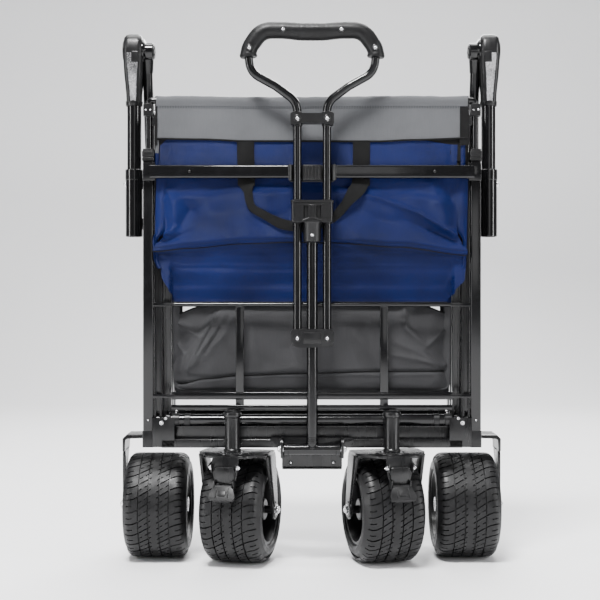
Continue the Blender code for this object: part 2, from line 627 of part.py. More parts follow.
def main():
    clear_scene()
    root = joint_frame("front_frame", (0.0, Y_CENTRE, 0.0))
    front_top = joint_frame("front_top", (0.0, 0.0, 0.0), root)
    rear_top = joint_frame("rear_top", (0.0, 0.0, 0.0), front_top)
    rear_frame = joint_frame("rear_frame", (0.0, 0.0, 0.0), rear_top)

    for side, sign in SIDES:
        corner_post("front_post_" + side, sign * POST_X, -POST_Y, root)
        rear_post(side, sign, rear_frame)
        rear_fork(side, sign, rear_frame)
        side_linkage(side, sign, root, front_top, rear_top, rear_frame)
        caster(side, sign, root)
        rear_wheel(side, sign, rear_frame)
    crossbar("front_crossbar", -1.0, root)
    crossbar("rear_crossbar", 1.0, rear_frame)
    base_tube("front_base_tube", -POST_Y, root)
    base_tube("rear_base_tube", POST_Y, rear_frame)
    top_frame("front_top_rail", -POST_Y, front_top)
    top_frame("rear_top_rail", POST_Y, rear_top)
    front_grille(root)
    front_base(root)
    handle_bracket(root)
    pull_handle(root)
    push_handle(rear_frame)
    bag(front_top, rear_top)


main()
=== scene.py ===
import math

import bmesh
import bpy
from mathutils import Matrix, Vector, noise


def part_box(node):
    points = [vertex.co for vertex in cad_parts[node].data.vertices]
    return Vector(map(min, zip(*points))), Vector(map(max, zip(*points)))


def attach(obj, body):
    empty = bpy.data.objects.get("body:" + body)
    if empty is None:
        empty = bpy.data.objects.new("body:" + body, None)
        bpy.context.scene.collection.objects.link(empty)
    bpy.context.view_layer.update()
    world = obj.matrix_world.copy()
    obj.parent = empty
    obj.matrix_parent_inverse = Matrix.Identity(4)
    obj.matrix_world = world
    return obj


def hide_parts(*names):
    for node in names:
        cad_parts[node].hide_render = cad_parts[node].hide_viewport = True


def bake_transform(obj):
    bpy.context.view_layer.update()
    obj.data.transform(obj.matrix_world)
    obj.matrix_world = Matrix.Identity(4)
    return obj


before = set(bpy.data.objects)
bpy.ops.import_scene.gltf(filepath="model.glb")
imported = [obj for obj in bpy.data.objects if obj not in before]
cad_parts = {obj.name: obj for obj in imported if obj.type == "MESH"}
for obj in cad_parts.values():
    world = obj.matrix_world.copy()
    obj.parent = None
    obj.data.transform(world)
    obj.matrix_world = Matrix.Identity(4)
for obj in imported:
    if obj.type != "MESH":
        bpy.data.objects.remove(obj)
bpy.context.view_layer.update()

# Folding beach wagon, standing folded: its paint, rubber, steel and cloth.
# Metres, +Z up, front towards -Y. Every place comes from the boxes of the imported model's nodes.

SIDES = (("left", -1.0), ("right", 1.0))
ALONG_Z = Matrix.Identity(4)
ALONG_X = Matrix(((0, 0, 1, 0), (1, 0, 0, 0), (0, 1, 0, 0), (0, 0, 0, 1)))   # outline in (y, z)
ALONG_Y = Matrix(((1, 0, 0, 0), (0, 0, 1, 0), (0, 1, 0, 0), (0, 0, 0, 1)))   # outline in (x, z)


def middle(node):
    low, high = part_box(node)
    return (low + high) / 2.0


def size_of(node):
    low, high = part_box(node)
    return high - low


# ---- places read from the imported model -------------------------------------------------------
POST_X = middle("front_post_right").x
FRONT_Y = middle("front_post_right").y
REAR_Y = 2.0 * middle("bag_floor").y - FRONT_Y
MID_Y = (FRONT_Y + REAR_Y) / 2.0
ENDS = (("front", 1.0, FRONT_Y), ("rear", -1.0, REAR_Y))
POST_HALF = size_of("front_post_right").x / 2.0
POST_Z = (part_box("front_post_right")[0].z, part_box("front_post_right")[1].z)
RAIL_RADIUS = size_of("front_top_rail").y / 2.0
RAIL_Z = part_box("front_top_rail")[1].z - RAIL_RADIUS
BAR_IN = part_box("falling_bar_1_right")[0].x
BAR_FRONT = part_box("rising_bar_1_right")[0].y
CROSS_LOW, CROSS_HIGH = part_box("front_crossbar")
GRILLE_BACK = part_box("front_grille")[1].y
HANDLE_Y = middle("handle_loop").y
PUSH_X = middle("push_post_right").x
BAR_HALF = 0.008                     # half the width of a scissor bar
BAR_THICK = 0.003                    # one of its two pressed skins
CASTER_Y = middle("caster_socket_left").y
CASTER_X = middle("caster_socket_right").x
CASTER_YAW = math.radians(13.0)      # toe of the casters in the photo
AXLE_Z = middle("rear_tyre_left").z
WHEEL_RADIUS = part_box("rear_tyre_left")[1].z - AXLE_Z
FLOOR_LOW, FLOOR_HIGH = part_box("bag_floor")


# ---- materials -------------------------------------------------------------------------------
class Finish:
    """Node material with a few helpers. Textures use object coordinates, in metres."""

    def __init__(self, name, slot, colour, roughness, metallic=0.0):
        self.slot = slot
        self.colour = colour
        self.material = bpy.data.materials.new(name)
        self.material.use_nodes = True
        self.tree = self.material.node_tree
        self.shader = self.tree.nodes["Principled BSDF"]
        self.set("Base Color", (*colour, 1.0))
        self.set("Roughness", roughness)
        self.set("Metallic", metallic)
        self.place = self.tree.nodes.new("ShaderNodeTexCoord").outputs["Object"]

    def set(self, socket, value):
        self.shader.inputs[socket].default_value = value

    def wire(self, output, socket):
        self.tree.links.new(output, self.shader.inputs[socket])

    def stretched(self, x, y, z):
        """Coordinates scaled along each axis, for grain that runs one way."""
        node = self.tree.nodes.new("ShaderNodeMapping")
        node.inputs["Scale"].default_value = (x, y, z)
        self.tree.links.new(self.place, node.inputs["Vector"])
        return node.outputs["Vector"]

    def noise(self, scale, detail=3.0, vector=None):
        node = self.tree.nodes.new("ShaderNodeTexNoise")
        node.inputs["Scale"].default_value = scale
        node.inputs["Detail"].default_value = detail
        self.tree.links.new(vector or self.place, node.inputs["Vector"])
        return node.outputs["Fac"]

    def cells(self, scale):
        node = self.tree.nodes.new("ShaderNodeTexVoronoi")
        node.inputs["Scale"].default_value = scale
        self.tree.links.new(self.place, node.inputs["Vector"])
        return node.outputs["Distance"]

    def remap(self, value, low, high, to_low, to_high):
        node = self.tree.nodes.new("ShaderNodeMapRange")
        for index, number in enumerate((low, high, to_low, to_high), start=1):
            node.inputs[index].default_value = number
        self.tree.links.new(value, node.inputs[0])
        return node.outputs[0]

    def math(self, operation, a, b=0.0):
        node = self.tree.nodes.new("ShaderNodeMath")
        node.operation = operation
        for socket, value in zip(node.inputs, (a, b)):
            if isinstance(value, float):
                socket.default_value = value
            else:
                self.tree.links.new(value, socket)
        return node.outputs[0]

    def mixed(self, factor, dark, light):
        node = self.tree.nodes.new("ShaderNodeMix")
        node.data_type = "RGBA"
        node.inputs["A"].default_value = (*dark, 1.0)
        node.inputs["B"].default_value = (*light, 1.0)
        self.tree.links.new(factor, node.inputs["Factor"])
        return node.outputs["Result"]

    def bump(self, height, distance, strength=1.0, under=None):
        node = self.tree.nodes.new("ShaderNodeBump")
        node.inputs["Distance"].default_value = distance
        node.inputs["Strength"].default_value = strength
        self.tree.links.new(height, node.inputs["Height"])
        if under is not None:
            self.tree.links.new(under, node.inputs["Normal"])
        self.tree.links.new(node.outputs["Normal"], self.shader.inputs["Normal"])
        return node.outputs["Normal"]

    def weave_height(self, pitch):
        """Checker of rounded threads: one set runs up, the other across."""
        split = self.tree.nodes.new("ShaderNodeSeparateXYZ")
        self.tree.links.new(self.place, split.inputs[0])
        x, y, z = split.outputs
        turn = 2.0 * math.pi / pitch
        across = self.math("SINE", self.math("MULTIPLY", self.math("ADD", x, y), turn))
        rise = self.math("ADD", z, self.math("MULTIPLY", y, 0.5))
        upward = self.math("SINE", self.math("MULTIPLY", rise, turn))
        return self.math("MULTIPLY", across, upward)


def tinted(colour, share):
    return tuple(min(1.0, c * share) for c in colour)


def paint(name, slot, colour, roughness, peel=0.00006):
    """Powder coat: orange peel, soft scuffs and a few rubbed streaks along the bars."""
    finish = Finish(name, slot, colour, roughness)
    finish.set("Specular IOR Level", 0.42)
    scuffs = finish.remap(finish.noise(38.0, 6.0), 0.52, 0.72, 0.0, 1.0)
    finish.wire(finish.mixed(scuffs, colour, tinted(colour, 1.9)), "Base Color")
    streaks = finish.noise(60.0, 4.0, finish.stretched(1.0, 1.0, 0.12))
    finish.wire(finish.remap(streaks, 0.3, 0.7, roughness * 0.82, roughness * 1.25), "Roughness")
    finish.bump(finish.noise(850.0, 2.0), peel, 0.6)
    return finish


def plastic(name, slot, colour, roughness, grain=0.0001):
    """Moulded plastic: a fine spark-eroded grain, paler where hands have rubbed it."""
    finish = Finish(name, slot, colour, roughness)
    finish.set("Specular IOR Level", 0.32)
    rubbed = finish.remap(finish.noise(30.0, 5.0), 0.45, 0.75, 0.0, 1.0)
    finish.wire(finish.mixed(rubbed, colour, tinted(colour, 1.7)), "Base Color")
    finish.wire(finish.remap(finish.noise(160.0), 0.3, 0.7, roughness * 0.85, roughness * 1.15),
                "Roughness")
    finish.bump(finish.noise(1500.0, 3.0), grain, 0.5)
    return finish


def rubber(name, slot, colour):
    """Tyre rubber: matt, with dust in the pores and a faint grain."""
    finish = Finish(name, slot, colour, 0.6)
    finish.set("Specular IOR Level", 0.3)
    dust = finish.remap(finish.noise(26.0, 7.0), 0.42, 0.7, 0.0, 1.0)
    finish.wire(finish.mixed(dust, colour, tinted(colour, 1.7)), "Base Color")
    finish.wire(finish.remap(finish.noise(70.0, 5.0), 0.3, 0.7, 0.34, 0.56), "Roughness")
    rough = finish.bump(finish.noise(420.0, 5.0), 0.00022, 0.6)
    finish.bump(finish.cells(900.0), 0.00008, 0.5, rough)
    return finish


def soft_grip(name, slot, colour):
    """Soft moulded grip: closed dimples in a satin skin."""
    finish = Finish(name, slot, colour, 0.42)
    finish.set("Specular IOR Level", 0.26)
    worn = finish.remap(finish.noise(45.0, 5.0), 0.45, 0.72, 0.0, 1.0)
    finish.wire(finish.mixed(worn, colour, tinted(colour, 1.8)), "Base Color")
    finish.wire(finish.remap(finish.noise(120.0), 0.3, 0.7, 0.36, 0.52), "Roughness")
    finish.bump(finish.cells(330.0), 0.00025, 0.5)
    return finish


def steel(name, slot, colour):
    """Zinc-plated steel: brushed, with darker stains."""
    finish = Finish(name, slot, colour, 0.25, 1.0)
    stains = finish.remap(finish.noise(240.0, 5.0), 0.4, 0.75, 0.0, 1.0)
    finish.wire(finish.mixed(stains, colour, tinted(colour, 0.55)), "Base Color")
    finish.wire(finish.remap(finish.noise(500.0), 0.3, 0.7, 0.16, 0.38), "Roughness")
    finish.bump(finish.noise(900.0, 2.0, finish.stretched(1.0, 1.0, 0.2)), 0.00004, 0.5)
    return finish


def cloth(name, slot, colour, pitch, roughness=0.78, shade=0.62, sheen=0.12):
    """Coated woven cloth: threads, slubs, faded and darker patches, and small creases."""
    finish = Finish(name, slot, colour, roughness)
    finish.set("Sheen Weight", sheen)
    finish.set("Sheen Roughness", 0.45)
    finish.set("Specular IOR Level", 0.1)
    patches = finish.remap(finish.noise(9.0, 6.0), 0.34, 0.66, 0.0, 1.0)
    threads = finish.noise(1.0, 2.0, finish.stretched(900.0, 900.0, 60.0))
    factor = finish.math("ADD", finish.math("MULTIPLY", patches, 0.6),
                         finish.math("MULTIPLY", threads, 0.4))
    finish.wire(finish.mixed(factor, tinted(colour, shade), tinted(colour, 1.15)), "Base Color")
    finish.wire(finish.remap(finish.noise(60.0), 0.3, 0.7, roughness - 0.08, roughness + 0.1), "Roughness")
    creases = finish.bump(finish.noise(55.0, 6.0), 0.0011, 0.35)
    finish.bump(finish.weave_height(pitch), 0.00016, 0.8, creases)
    return finish


BLACK = paint("gloss_black_coat", "black_paint", (0.003, 0.003, 0.0034), 0.14)
SATIN = paint("satin_black_coat", "satin_paint", (0.0038, 0.0038, 0.0042), 0.28, 0.0001)
PLASTIC = plastic("black_moulding", "black_plastic", (0.0046, 0.0046, 0.005), 0.34)
GRIP = soft_grip("grip_moulding", "soft_grip", (0.0022, 0.0022, 0.0025))
RUBBER = rubber("tread_rubber", "tyre_rubber", (0.004, 0.004, 0.0044))
STEEL = steel("zinc_steel", "bright_steel", (0.72, 0.72, 0.74))
BLUE = cloth("blue_weave", "blue_fabric", (0.0027, 0.0078, 0.057), 0.0012, 0.4, 0.36, 0.0)
GREY = cloth("grey_weave", "grey_fabric", (0.077, 0.079, 0.084), 0.0012, 0.62, 0.8, 0.02)
DARK = cloth("dark_weave", "grey_fabric", (0.032, 0.032, 0.034), 0.0014, 0.44, 0.5, 0.0)
WEBBING = cloth("black_webbing", "grey_fabric", (0.006, 0.006, 0.0062), 0.0018, 0.85, 0.7, 0.05)
THREAD = cloth("dark_thread", "grey_fabric", (0.006, 0.007, 0.012), 0.0006, 0.7, 0.8, 0.05)


# ---- shapes ----------------------------------------------------------------------------------
def ring_faces(bm, a, b):
    for k in range(len(a)):
        n = (k + 1) % len(a)
        bm.faces.new((a[k], a[n], b[n], b[k]))


def circle(count, radius, centre=0.0):
    """Points round a circle whose centre lies on the first axis."""
    angles = [2.0 * math.pi * k / count for k in range(count)]
    return [(centre + radius * math.cos(a), radius * math.sin(a)) for a in angles]


def add_skin(bm, rings):
    """Closed skin over a row of rings, with a flat cap on the first and on the last."""
    for a, b in zip(rings, rings[1:]):
        ring_faces(bm, a, b)
    bm.faces.new(rings[0])
    bm.faces.new(rings[-1])


def frames_along(path):
    """Point, tangent, side and up at each point of a path, carried along it without twist."""
    points = [Vector(p) for p in path]
    last = len(points) - 1
    frames = []
    side = None
    for i, point in enumerate(points):
        tangent = (points[min(i + 1, last)] - points[max(i - 1, 0)]).normalized()
        if side is None:
            side = tangent.orthogonal()
        side = (side - tangent * side.dot(tangent)).normalized()
        frames.append((point, tangent, side, tangent.cross(side)))
    return frames


def add_tube(bm, path, radius, sides=24, bevel=0.0, place=ALONG_Z):
    """Round rod along a path. radius is a number, or a list with one for each point."""
    points = [Vector(p) for p in path]
    radii = list(radius) if isinstance(radius, (list, tuple)) else [radius] * len(points)
    if bevel > 0.0:
        first = (points[1] - points[0]).normalized() * bevel
        last = (points[-1] - points[-2]).normalized() * bevel
        points = [points[0], points[0] + first] + points[1:-1] + [points[-1] - last, points[-1]]
        radii = [radii[0] - bevel, radii[0]] + radii[1:-1] + [radii[-1], radii[-1] - bevel]
    rings = []
    for (point, _, side, up), r in zip(frames_along(points), radii):
        angles = [2.0 * math.pi * k / sides for k in range(sides)]
        ring = [point + r * (math.cos(a) * side + math.sin(a) * up) for a in angles]
        rings.append([bm.verts.new(place @ p) for p in ring])
    add_skin(bm, rings)


def along(origin, direction):
    """Matrix whose Z axis points along direction from origin."""
    turn = Vector(direction).to_track_quat("Z", "Y").to_matrix().to_4x4()
    return Matrix.Translation(origin) @ turn


def add_lathe(bm, profile, place=ALONG_Z, sides=40):
    """(radius, height) outline turned round the Z axis of place; it closes on the axis or in a ring."""
    rings = []
    for radius, height in profile:
        if radius < 1e-7:
            rings.append([bm.verts.new(place @ Vector((0.0, 0.0, height)))])
            continue
        angles = [2.0 * math.pi * k / sides for k in range(sides)]
        points = [Vector((radius * math.cos(a), radius * math.sin(a), height)) for a in angles]
        rings.append([bm.verts.new(place @ p) for p in points])
    closed = profile[0][0] > 1e-7
    pairs = list(zip(rings, rings[1:] + (rings[:1] if closed else [])))
    for a, b in pairs if closed else pairs[:len(rings) - 1]:
        if len(a) == 1 or len(b) == 1:
            tip, rim = (a[0], b) if len(a) == 1 else (b[0], a)
            for k in range(sides):
                bm.faces.new((tip, rim[k], rim[(k + 1) % sides]))
        else:
            ring_faces(bm, a, b)


def add_disc(bm, at, direction, radius, thick, edge=0.0006, sides=32):
    """Flat round head with a rounded rim; it starts 1 mm inside the surface."""
    profile = [(0.0, thick), (radius - edge, thick), (radius, thick - edge), (radius, -0.001),
               (0.0, -0.001)]
    add_lathe(bm, profile, along(at, direction), sides)


def add_rivet(bm, at, direction, radius=0.0032, height=0.0017, sides=20):
    """Domed rivet head on its washer."""
    profile = [(radius * math.sin(math.radians(a)), height * math.cos(math.radians(a)))
               for a in (0, 25, 50, 75, 90)]
    profile[0] = (0.0, height)
    profile += [(radius * 1.35, 0.0), (radius * 1.35, -0.001), (0.0, -0.001)]
    add_lathe(bm, profile, along(at, direction), sides)


def add_bolt(bm, at, direction, radius=0.005, height=0.0042):
    """Hexagon nut on a washer, with the rounded end of its bolt."""
    place = along(at, direction)
    add_lathe(bm,
              [(0.0, 0.001), (radius * 1.35, 0.001), (radius * 1.35, -0.0008), (0.0, -0.0008)], place, 28)
    add_prism(bm, circle(6, radius), 0.001, height, place, 0.0005)
    tip = radius * 0.52
    add_lathe(bm, [(0.0, height + 0.0018), (tip * 0.8, height + 0.0015), (tip, height + 0.0004),
                   (tip, height - 0.001), (0.0, height - 0.001)], place, 20)


def round_off(bm, edges, bevel, steps):
    """Round these edges, each taken once and in the order given."""
    edges = list(dict.fromkeys(edges))
    bmesh.ops.bevel(bm, geom=edges, offset=bevel, segments=steps, profile=0.5, affect="EDGES")


def add_prism(bm, outline, low, high, place=ALONG_Z, bevel=0.0, steps=2):
    """Outline in the XY plane of place, run along its Z between low and high, its rims rounded."""
    low, high = sorted((low, high))
    bottom = [bm.verts.new(place @ Vector((x, y, low))) for x, y in outline]
    top = [bm.verts.new(place @ Vector((x, y, high))) for x, y in outline]
    ring_faces(bm, bottom, top)
    caps = [bm.faces.new(bottom), bm.faces.new(top)]
    if bevel > 0.0:
        round_off(bm, [edge for cap in caps for edge in cap.edges], bevel, steps)


def add_block(bm, corner, opposite, bevel=0.0, steps=2, place=ALONG_Z):
    """Box between two opposite corners, given in either order, with rounded edges."""
    low, high = Vector(map(min, corner, opposite)), Vector(map(max, corner, opposite))
    matrix = place @ Matrix.Translation((low + high) / 2.0) @ Matrix.Diagonal((*(high - low), 1.0))
    made = bmesh.ops.create_cube(bm, size=1.0, matrix=matrix)
    if bevel > 0.0:
        round_off(bm, [edge for vert in made["verts"] for edge in vert.link_edges], bevel, steps)


def rounded(x0, x1, y0, y1, radius, steps=5):
    """Rectangle with round corners, as a list of points; the limits come in either order."""
    x0, x1 = sorted((x0, x1))
    y0, y1 = sorted((y0, y1))
    points = []
    for x, y, start in ((x1, y1, 0.0), (x0, y1, 90.0), (x0, y0, 180.0), (x1, y0, 270.0)):
        cx = x - math.copysign(radius, x - (x0 + x1) / 2.0)
        cy = y - math.copysign(radius, y - (y0 + y1) / 2.0)
        for k in range(steps + 1):
            angle = math.radians(start + 90.0 * k / steps)
            points.append((cx + radius * math.cos(angle), cy + radius * math.sin(angle)))
    return points


def filleted(corners, radius, steps=8):
    """Path through corners, each one turned with an arc of about the given radius."""
    points = [Vector(c) for c in corners]
    path = [points[0]]
    for before, corner, after in zip(points, points[1:], points[2:]):
        into, out = (before - corner).normalized(), (after - corner).normalized()
        reach = radius / math.tan(into.angle(out) / 2.0)
        reach = min(reach, 0.49 * (before - corner).length, 0.49 * (after - corner).length)
        start, end = corner + into * reach, corner + out * reach
        for k in range(steps + 1):
            t = k / steps
            path.append((1 - t) ** 2 * start + 2 * t * (1 - t) * corner + t * t * end)
    path.append(points[-1])
    return path


def soft_outline(corners, radius, steps=5):
    """Closed flat outline with its corners rounded."""
    count = len(corners)
    points = []
    for i in range(count):
        before, corner, after = (Vector(corners[(i + k) % count]) for k in (-1, 0, 1))
        into, out = before - corner, after - corner
        reach = min(radius, 0.45 * into.length, 0.45 * out.length)
        start, end = corner + into.normalized() * reach, corner + out.normalized() * reach
        for k in range(steps + 1):
            t = k / steps
            point = (1 - t) ** 2 * start + 2 * t * (1 - t) * corner + t * t * end
            points.append((point.x, point.y))
    return points


def even_path(path, step):
    """The same path with points at even steps."""
    points = [Vector(p) for p in path]
    lengths = [0.0]
    for a, b in zip(points, points[1:]):
        lengths.append(lengths[-1] + (b - a).length)
    count = max(2, round(lengths[-1] / step))
    result = []
    i = 0
    for k in range(count + 1):
        target = lengths[-1] * k / count
        while i < len(points) - 2 and lengths[i + 1] < target:
            i += 1
        share = (target - lengths[i]) / max(1e-9, lengths[i + 1] - lengths[i])
        result.append(points[i].lerp(points[i + 1], share))
    return result


def smooth(low, high, value):
    t = min(1.0, max(0.0, (value - low) / (high - low)))
    return t * t * (3.0 - 2.0 * t)


def through(knots, value):
    """Smooth value through (position, value) knots in rising order."""
    if value <= knots[0][0]:
        return knots[0][1]
    for (a, va), (b, vb) in zip(knots, knots[1:]):
        if value <= b:
            return va + (vb - va) * smooth(a, b, value)
    return knots[-1][1]


def placed(name, data):
    """New object in the scene, for a mesh, a light or a camera."""
    obj = bpy.data.objects.new(name, data)
    bpy.context.scene.collection.objects.link(obj)
    return obj


def mesh_object(name, bm):
    mesh = bpy.data.meshes.new(name)
    bm.to_mesh(mesh)
    bm.free()
    return placed(name, mesh)


def made(shape, *values):
    """New mesh under construction, holding one shape."""
    bm = bmesh.new()
    shape(bm, *values)
    return bm


def piece(name, bm, finish, body=None, nodes=(), crisp=32.0):
    """Object made from bm, in the finish, riding on body and standing for the CAD nodes."""
    bmesh.ops.recalc_face_normals(bm, faces=bm.faces)
    obj = mesh_object(name, bm)
    obj.data.shade_smooth()
    obj.data.set_sharp_from_angle(angle=math.radians(crisp))
    obj.data.materials.append(finish.material)
    if nodes:
        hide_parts(*nodes)
    if body:
        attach(obj, body)
    return obj


# ---- frame: posts, rails, crossbars ----------------------------------------------------------
COLLAR_TOP = 0.6435                  # top of the bush on each post
FITTING = (0.6945, 0.7125)           # foot and top of the fittings at the ends of the top rails
BRIDGE_Z = (0.525, 0.59)             # feet of the two bridges behind each push sleeve
BRIDGE_HEIGHT = 0.018


def post(bm, x, y):
    """Square tube with round corners."""
    outline = rounded(x - POST_HALF, x + POST_HALF, y - POST_HALF, y + POST_HALF, 0.0022, 4)
    add_prism(bm, outline, POST_Z[0], POST_Z[1], ALONG_Z, 0.0006, 2)


def post_collar(bm, x, y):
    """Plastic bush on top of a post: two grooves and a lip round the sliding rod."""
    half = POST_HALF + 0.0016
    low = POST_Z[1] - 0.0006
    for z0, z1, grow in ((low, low + 0.0045, 0.0), (low + 0.0045, low + 0.0058, -0.001),
                         (low + 0.0058, COLLAR_TOP - 0.0035, 0.0),
                         (COLLAR_TOP - 0.0035, COLLAR_TOP, -0.0012)):
        h = half + grow
        add_prism(bm, rounded(x - h, x + h, y - h, y + h, 0.003, 4), z0, z1, ALONG_Z, 0.0005, 2)


def posts():
    for end, _, y in ENDS:
        body = end + "_frame"
        for side, sign in SIDES:
            x = sign * POST_X
            piece(f"{end}_post_tube_{side}", made(post, x, y), BLACK, body, [f"{end}_post_{side}"])
            piece(f"{end}_post_collar_{side}", made(post_collar, x, y), PLASTIC, body)


def cut_hole(obj, at, direction, radius, depth):
    """Drill a round hole through one wall of obj and keep the result as its mesh."""
    bm = bmesh.new()
    add_lathe(bm, [(0.0, 0.0), (radius, 0.0), (radius, depth), (0.0, depth)], along(at, direction), 28)
    bmesh.ops.recalc_face_normals(bm, faces=bm.faces)
    drill = mesh_object("drill", bm)
    modifier = obj.modifiers.new("hole", "BOOLEAN")
    modifier.operation = "DIFFERENCE"
    modifier.solver = "EXACT"
    modifier.object = drill
    graph = bpy.context.evaluated_depsgraph_get()
    cut = bpy.data.meshes.new_from_object(obj.evaluated_get(graph))
    obj.modifiers.clear()
    obj.data = cut
    bpy.data.objects.remove(drill)


def push_sleeves():
    """Open sleeves for the push handle, welded to the rear posts by two bridges, drilled for the button."""
    for side, sign in SIDES:
        x = sign * PUSH_X
        profile = [(0.012, 0.513), (0.0133, 0.513), (0.0137, 0.5136), (0.0137, 0.605), (0.0143, 0.6056),
                   (0.0143, 0.6214), (0.0137, 0.622), (0.012, 0.622)]
        sleeve = piece("push_sleeve_" + side,
                       made(add_lathe, profile, Matrix.Translation((x, REAR_Y, 0.0)), 48), BLACK,
                       "rear_frame")
        at = (sign * (PUSH_X + 0.01), REAR_Y, middle("snap_button_" + side).z)
        cut_hole(sleeve, at, (sign, 0, 0), 0.0044, 0.01)
        bm = bmesh.new()
        for low in BRIDGE_Z:
            add_block(bm, (sign * (POST_X + POST_HALF - 0.001), REAR_Y - 0.0045, low),
                      (sign * (PUSH_X - 0.0125), REAR_Y + 0.0045, low + BRIDGE_HEIGHT), 0.0012)
        piece("push_sleeve_bridges_" + side, bm, BLACK, "rear_frame")


def top_rails():
    for end, forward, y in ENDS:
        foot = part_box(end + "_top_rail")[0].z
        corners = [(-POST_X, y, foot), (-POST_X, y, RAIL_Z), (POST_X, y, RAIL_Z), (POST_X, y, foot)]
        piece(end + "_rail_rod", made(add_tube, filleted(corners, 0.008, 8), RAIL_RADIUS, 24, 0.0008),
              BLACK, end + "_top", [end + "_top_rail"])
        bm = bmesh.new()
        for _, sign in SIDES:
            x = sign * POST_X
            outline = soft_outline([(x - 0.0078, y - 0.0085), (x + 0.0078, y - 0.0085),
                                    (x + 0.0078, y + 0.0085), (x - 0.0078, y + 0.0085)], 0.003)
            add_prism(bm, outline, FITTING[0], FITTING[1], ALONG_Z, 0.0012, 3)
            add_tube(bm, [(x, y, FITTING[0] - 0.0001), (x, y, FITTING[1] + 0.0015)], 0.007, 24, 0.0006)
        piece(end + "_rail_fittings", bm, PLASTIC, end + "_top")
        bm = bmesh.new()
        for _, sign in SIDES:
            for dx in (-0.0035, 0.0035):
                at = (sign * POST_X + dx, y - forward * 0.0085, sum(FITTING) / 2)
                add_rivet(bm, at, (0, -forward, 0), 0.0013, 0.0009, 14)
        piece(end + "_rail_rivets", bm, STEEL, end + "_top")


def crossbars():
    for end, forward, _ in ENDS:
        low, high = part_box(end + "_crossbar")
        outline = rounded(low.y, high.y, low.z, high.z, 0.003, 4)
        face = low.y if forward > 0 else high.y
        bm = bmesh.new()
        add_prism(bm, outline, low.x, high.x, ALONG_X, 0.0006)
        for sign in (-1.0, 1.0):
            add_block(bm, (sign * (POST_X - POST_HALF - 0.004), face + forward * 0.0045, low.z - 0.0035),
                      (sign * (POST_X + POST_HALF - 0.001), face + forward * 0.0135,
                       high.z + 0.0035), 0.0008)
        piece(end + "_cross_tube", bm, BLACK, end + "_frame", [end + "_crossbar"])
        bm = bmesh.new()
        for x in (0.188, -0.188):
            add_rivet(bm, (x, face, (low.z + high.z) / 2.0), (0, -forward, 0), 0.0022, 0.0009, 18)
        piece(end + "_cross_rivets", bm, SATIN, end + "_frame")


def base_tubes():
    for end, _, _ in ENDS:
        low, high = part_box(end + "_base_tube")
        centre = middle(end + "_base_tube")
        radius = (high.z - low.z) / 2.0
        piece(end + "_base_rod",
              made(add_tube, [(low.x, centre.y, centre.z), (high.x, centre.y, centre.z)], radius, 36,
                   0.0008), BLACK, end + "_frame", [end + "_base_tube"])
        bm = bmesh.new()
        for sign in (-1.0, 1.0):
            for x0, x1 in ((0.188, 0.197), (0.205, 0.2165)):
                at = [(sign * x0, centre.y, centre.z), (sign * x1, centre.y, centre.z)]
                add_tube(bm, at, radius + 0.0012, 32, 0.0006)
        piece(end + "_base_bushes", bm, PLASTIC, end + "_frame")


def base_bar():
    low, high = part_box("front_base_bar")
    piece("front_base_beam",
          made(add_prism, rounded(low.y, high.y, low.z, high.z, 0.0022, 4), low.x, high.x, ALONG_X,
               0.0005), SATIN, "front_frame", ["front_base_bar"])


def base_webs():
    """Folded sheet under each base tube, and the shoes that close the front posts."""
    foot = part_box("front_base_bar")[0].z
    tube = middle("front_base_tube").z
    for end, forward, y in ENDS:
        bm = bmesh.new()
        add_prism(bm, rounded(-0.2185, 0.2185, foot + 0.01, tube - 0.005, 0.003, 3), y + forward * 0.001,
                  y + forward * 0.0036, ALONG_Y, 0.0006)
        for z in (foot + 0.013, tube - 0.01):
            add_block(bm, (-0.215, y - forward * 0.0035, z - 0.0011),
                      (0.215, y + forward * 0.0016, z + 0.0011), 0.0006)
        for sign in (-1.0, 1.0):
            add_block(bm, (sign * 0.212, y - forward * 0.01, foot + 0.001),
                      (sign * (POST_X - POST_HALF + 0.001), y - forward * 0.0076, tube + 0.004), 0.0008)
        piece(end + "_base_web", bm, SATIN, end + "_frame")
    bm = bmesh.new()
    for sign in (-1.0, 1.0):
        x = sign * POST_X
        half = POST_HALF + 0.001
        outline = rounded(x - half, x + half, FRONT_Y - half, FRONT_Y + half, 0.003, 4)
        add_prism(bm, outline, foot + 0.0004, POST_Z[0] + 0.012, ALONG_Z, 0.001)
    piece("front_post_shoes", bm, PLASTIC, "front_frame")


GUARD_UPRIGHT = 0.1115
GUARD_RAIL = (0.256, 0.268)          # lower and upper edge of the middle rail


